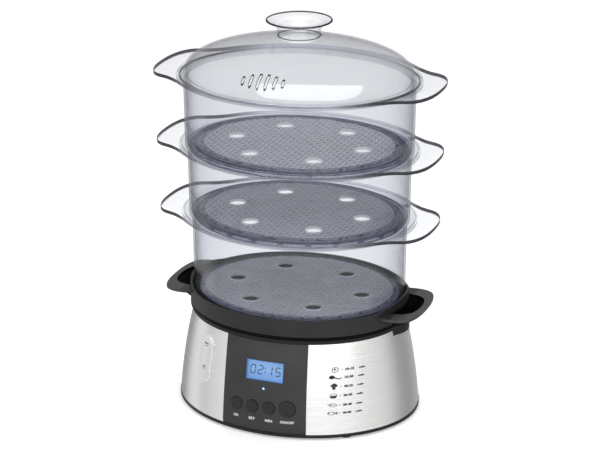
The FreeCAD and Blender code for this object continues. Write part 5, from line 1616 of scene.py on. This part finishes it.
@dataclass
class Lid(Assembly):
    """Clear domed lid with its knob."""

    dome: float = 121.6
    rise: float = 42.4
    base: float = 360.0
    wall: float = 2.0
    vents: tuple[float, ...] = (7.5, 12.0, 15.0, 15.0, 12.0, 7.5)
    pieces: dict[str, bpy.types.Object] = field(default_factory=dict)

    SHARES = (1.0, 0.9985, 0.997, 0.994, 0.99, 0.985, 0.98, 0.973, 0.965, 0.955, 0.945, 0.933,
              0.92, 0.90, 0.88, 0.85, 0.82, 0.78, 0.74, 0.68, 0.62, 0.55, 0.48, 0.41, 0.34)
    PLUG = ((0.0, 404.5), (18.0, 404.5, 0.4), (18.0, 399.6, 0.6))
    RIM = ((117.7, 360.4, 0.5), (117.7, 355.0, 0.5), (119.7, 355.0, 0.5), (119.7, 358.0, 0.3),
           (126.3, 358.0, 0.6), (126.3, 360.5, 0.7), (122.4, 360.5, 0.5))
    BOSS = ((31.0, 400.2, 1.5), (24.6, 400.9, 0.8), (22.8, 403.0, 0.4), (20.4, 403.0, 0.2),
            (20.4, 406.5, 0.5), (0.0, 406.5))
    KNOB = ((0.0, 415.4), (20.0, 415.2, 1.0), (21.7, 412.5, 1.0), (20.8, 407.0, 0.5),
            (20.8, 403.0, 0.4), (22.6, 403.0, 0.4), (22.6, 407.0, 0.5), (23.6, 412.5, 1.0),
            (25.6, 415.8, 1.5), (29.4, 417.6, 1.0), (34.0, 418.5, 0.4), (34.4, 419.1, 0.3),
            (33.9, 420.0, 0.4), (32.4, 420.0, 0.8), (28.4, 418.8, 1.0), (20.4, 417.8, 1.0),
            (0.0, 417.2))

    # Bounds of the painted shade on the lid's rim skirt.
    RIM_EDGE = 125.4
    RIM_HIGH = 361.0
    # Bounds of the painted highlight on the boss top and in the knob's core.
    BOSS_EDGE = (20.9, 399.0)
    KNOB_CORE = (21.8, 412.0)
    # Bounds of the painted shade on the knob's rim and round its foot.
    KNOB_EDGE = 32.2
    KNOB_FOOT = (20.0, 405.5)
    VENT_Y = -90.3
    VENT_LOW = 366.0
    VENT_HALF = 1.4
    VENT_PITCH = 8.5

    def arch(self, radius: float, rise: float, stop: float) -> list[Corner]:
        """Points of the dome from its foot up to a radius."""
        return [Corner(radius * s, self.base + rise * (1.0 - s ** 1.2) ** 0.37)
                for s in self.SHARES if radius * s > stop]

    def build(self) -> None:
        """Turn the dome and the knob and cut the steam slots."""
        outer = self.arch(self.dome, self.rise, 36.0)
        inner = self.arch(self.dome - self.wall, self.rise - self.wall, 30.0)
        corners = [*corners_of(self.PLUG), *reversed(inner), *corners_of(self.RIM), *outer,
                   *corners_of(self.BOSS)]
        self.pieces["dome"] = turned("lid_dome_shape", corners, even_angles(240), oval=narrowing,
                                     closed=False, crease=40.0)
        carved(self.pieces["dome"], self.slots(), 40.0)
        self.pieces["knob"] = turned("lid_knob_shape", corners_of(self.KNOB), even_angles(160), oval=1.0,
                                     closed=False)

    def spines(self) -> list[tuple[float, float]]:
        """Place along X and half length of the straight part of each steam slot."""
        return [(-3.9 + (k - 2.5) * self.VENT_PITCH, length / 2 - self.VENT_HALF)
                for k, length in enumerate(self.vents)]

    def in_vent(self, x: float, y: float, z: float) -> bool:
        """Whether a place lies on the side of a steam slot, where painted shade goes."""
        return z > self.VENT_LOW and any(
            math.hypot(x - middle, max(0.0, abs(y - self.VENT_Y) - half)) < self.VENT_HALF + 0.1
            for middle, half in self.spines())

    def slots(self) -> list[bpy.types.Object]:
        """Cutters of the six steam slots."""
        cutters = []
        for x, half in self.spines():
            outline = [Vector((x + a, self.VENT_Y + b, self.VENT_LOW))
                       for a, b in stadium(2 * self.VENT_HALF, 2 * (half + self.VENT_HALF), 8)]
            cutters.append(prism("cut_vent", outline, Vector((0.0, 0.0, 40.0))))
        return cutters

    def dress(self) -> None:
        """Smoky clear plastic, with painted shade on the rim skirt, the sides of the steam slots and the
        knob's rim and foot, and a painted highlight in the knob's core and on the boss top.
        """
        dress(self.pieces["dome"], Kit.LID, "lid", "lid_dome", slot="clear_smoke")
        # Painted shade on the lid's rim skirt.
        edged(self.pieces["dome"], Kit.RIM,
              lambda x, y, z: oval_reach(x, y) > self.RIM_EDGE and z < self.RIM_HIGH)
        # Painted shade on the sides of the steam slots.
        edged(self.pieces["dome"], Kit.KNOB_RIM, self.in_vent)
        dress(self.pieces["knob"], Kit.KNOB, "lid", "lid_knob", slot="clear_smoke")
        # Painted highlight in the knob's core and on the boss top.
        for name, (radius, low) in (("dome", self.BOSS_EDGE), ("knob", self.KNOB_CORE)):
            edged(self.pieces[name], Kit.CORE,
                  lambda x, y, z, radius=radius, low=low: math.hypot(x, y) < radius and z > low)
        # Painted shade on the knob's rim and round its foot.
        edged(self.pieces["knob"], Kit.KNOB_RIM, self.on_knob_edge)

    def on_knob_edge(self, x: float, y: float, z: float) -> bool:
        """Whether a place lies on the knob's rim or round its foot, where painted shade goes."""
        away = math.hypot(x, y)
        return away > self.KNOB_EDGE or (z < self.KNOB_FOOT[1] and away > self.KNOB_FOOT[0])


def narrowing(radius: float) -> float:
    """Share of X kept along Y on the lid: round at the boss, oval outside it."""
    boss, blend = 31.0, 24.0
    share = min(1.0, max(0.0, (radius - boss) / blend))
    share = share * share * (3.0 - 2.0 * share)
    return 1.0 + (OVAL - 1.0) * share


# ---- light and camera -----------------------------------------------------------
@dataclass(frozen=True)
class Softbox:
    """Rectangular light that looks at a point."""

    name: str
    place: tuple[float, float, float]
    aim: tuple[float, float, float]
    wide: float
    tall: float
    power: float

    def build(self) -> None:
        """Hang the light."""
        data = bpy.data.lights.new(self.name, "AREA")
        data.shape = "RECTANGLE"
        data.size, data.size_y, data.energy = self.wide, self.tall, self.power
        light = placed(self.name, data)
        light.location = self.place
        way = Vector(self.aim) - Vector(self.place)
        light.rotation_euler = way.to_track_quat("-Z", "Y").to_euler()
        light.visible_glossy = False


@dataclass
class Studio:
    """Pale floor, white surroundings, soft lights and the camera."""

    lights: tuple[Softbox, ...] = (
        Softbox("key_light", (-0.9, -1.3, 1.5), (0.0, 0.0, 0.2), 1.2, 1.2, 7.0),
        Softbox("side_light", (1.7, -0.5, 0.9), (0.0, 0.0, 0.2), 0.5, 1.4, 4.0),
        Softbox("top_light", (0.1, 0.2, 1.8), (0.0, 0.0, 0.3), 0.9, 0.7, 7.0),
    )

    WINDOW = ((-620, -250, 1800), (781, 250, 1790), (1250, -900, 330), (-480, -1420, 360))
    BANDS = ((-180, 0.50), (-150, 0.42), (-129, 0.30), (-117, 0.44), (-105, 0.86), (-93, 0.90),
             (-81, 0.62), (-69, 0.80), (-40, 0.95), (0, 1.0), (27, 1.08), (51, 1.0), (75, 0.9),
             (99, 0.78), (111, 0.62), (123, 0.42), (141, 0.34), (160, 0.42), (180, 0.50))

    FLOOR_HALF = 4000
    EYE = (0.8025, -2.0982, 1.0191)
    TILT = 69.891
    HEADING = 20.93
    LENS = 136.38

    def build(self) -> None:
        """Set up the studio."""
        scene = bpy.context.scene
        scene.view_settings.view_transform = "Standard"
        scene.cycles.transparent_max_bounces = 48
        self.floor()
        self.window()
        self.surroundings()
        for light in self.lights:
            light.build()
        self.camera()

    def window(self) -> None:
        """Tall pale pane that only shows as a reflection on the lid."""
        piece = new_piece("studio_window", self.WINDOW, [(0, 1, 2, 3)], turn_out=False)
        c = Canvas("studio_window_light")
        cloud = c.noise(c.place(), 1.5, 1.0)
        glow = c.node("ShaderNodeEmission", {"Color": (1.0, 1.0, 1.0, 1.0),
                                             "Strength": c.span(cloud, 5.2, 5.8)})
        piece.data.materials.append(c.show(glow.outputs[0]))
        for sight in ("camera", "diffuse", "shadow", "transmission"):
            setattr(piece, "visible_" + sight, False)

    def floor(self) -> None:
        """Pale floor that only keeps the object's shadow."""
        corners = [(a * self.FLOOR_HALF, b * self.FLOOR_HALF, 0) for a, b in SQUARE]
        piece = new_piece("studio_floor", corners, [(0, 1, 2, 3)], turn_out=False)
        c = Canvas("studio_floor_white")
        cloud = c.noise(c.place(), 6.0, 2.0)
        tint = c.ramp(cloud, [(0.3, (0.89, 0.89, 0.89)), (0.7, (0.91, 0.91, 0.91))])
        seen = c.sum("MULTIPLY", c.node("ShaderNodeLightPath").outputs["Is Camera Ray"], 0.42)
        skin = c.solid({"Base Color": tint, "Roughness": 0.9, "Specular IOR Level": 0.1,
                        "Emission Color": (1.0, 1.0, 1.0, 1.0), "Emission Strength": seen})
        piece.data.materials.append(c.show(skin.outputs[0]))
        piece.visible_glossy = False

    def surroundings(self) -> None:
        """White to the camera and through glass, with soft upright bands in reflections."""
        world = bpy.data.worlds.new("studio_world")
        bpy.context.scene.world = world
        world.use_nodes = True
        tree = world.node_tree
        tree.nodes.clear()
        node, maths = partial(add_node, tree), partial(add_maths, tree)
        way = node("ShaderNodeSeparateXYZ", {0: node("ShaderNodeTexCoord").outputs["Generated"]})
        turn = maths("ARCTAN2", way.outputs["X"], maths("MULTIPLY", way.outputs["Y"], -1.0))
        share = node("ShaderNodeMapRange", {"Value": turn, "From Min": -math.pi, "From Max": math.pi})
        bands = node("ShaderNodeValToRGB", {"Fac": share.outputs[0]})
        while len(bands.color_ramp.elements) < len(self.BANDS):
            bands.color_ramp.elements.new(0.5)
        for element, (angle, level) in zip(bands.color_ramp.elements, self.BANDS):
            element.position = (angle + 180.0) / 360.0
            element.color = (level, level, level, 1.0)
        rise = node("ShaderNodeMapRange", {"Value": way.outputs["Z"], "From Min": 0.35, "From Max": 0.75})
        mirrored = node("ShaderNodeMix", {"Factor": rise.outputs[0], "A": bands.outputs["Color"],
                                          "B": (1.0, 1.0, 1.0, 1.0)}, data_type="RGBA")
        path = node("ShaderNodeLightPath").outputs
        plain = node("ShaderNodeBackground", {"Color": (1.0, 1.0, 1.0, 1.0), "Strength": 0.55})
        glossy = node("ShaderNodeBackground", {"Color": mirrored.outputs["Result"], "Strength": 1.0})
        white = node("ShaderNodeBackground", {"Color": (1.0, 1.0, 1.0, 1.0), "Strength": 1.0})
        first = node("ShaderNodeMixShader", {0: path["Is Glossy Ray"], 1: plain.outputs[0],
                                             2: glossy.outputs[0]})
        clear = maths("MAXIMUM", path["Is Camera Ray"], path["Is Transmission Ray"])
        last = node("ShaderNodeMixShader", {0: clear, 1: first.outputs[0], 2: white.outputs[0]})
        node("ShaderNodeOutputWorld", {"Surface": last.outputs[0]})

    def camera(self) -> None:
        """Camera above and to the right of the front."""
        data = bpy.data.cameras.new("camera")
        data.lens, data.sensor_width, data.shift_x = self.LENS, 36.0, 0.0012
        data.clip_start, data.clip_end = 0.05, 50.0
        camera = placed("camera", data)
        camera.location = self.EYE
        camera.rotation_euler = Euler((math.radians(self.TILT), 0.0, math.radians(self.HEADING)))
        bpy.context.scene.camera = camera


def stack() -> list[Assembly]:
    """All assemblies, from the base up."""
    lattice = Lattice().mesh()
    bowls = [Bowl("bowl_1", 124.0, 213.5, 114.0, 123.7, 130.0, 112.0, False),
             Bowl("bowl_2", 209.0, 288.0, 118.0, 125.7, 132.1, 113.0),
             Bowl("bowl_3", 283.5, 362.5, 121.5, 127.5, 134.0, 117.0)]
    floors = [Floor(b.node.replace("bowl", "floor"), b.z0 + 2.0, lattice) for b in bowls]
    return [Sleeve(), Base(), Panel(), Gauge(), Chart(), Tray(), *bowls, *floors, Lid()]


def main() -> None:
    """Build, dress and light the steamer."""
    logging.basicConfig(level=logging.INFO, format="%(message)s")
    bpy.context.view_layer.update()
    for assembly in stack():
        assembly.build()
        assembly.dress()
    Studio().build()
    bpy.context.view_layer.update()


if __name__ == "__main__":
    main()
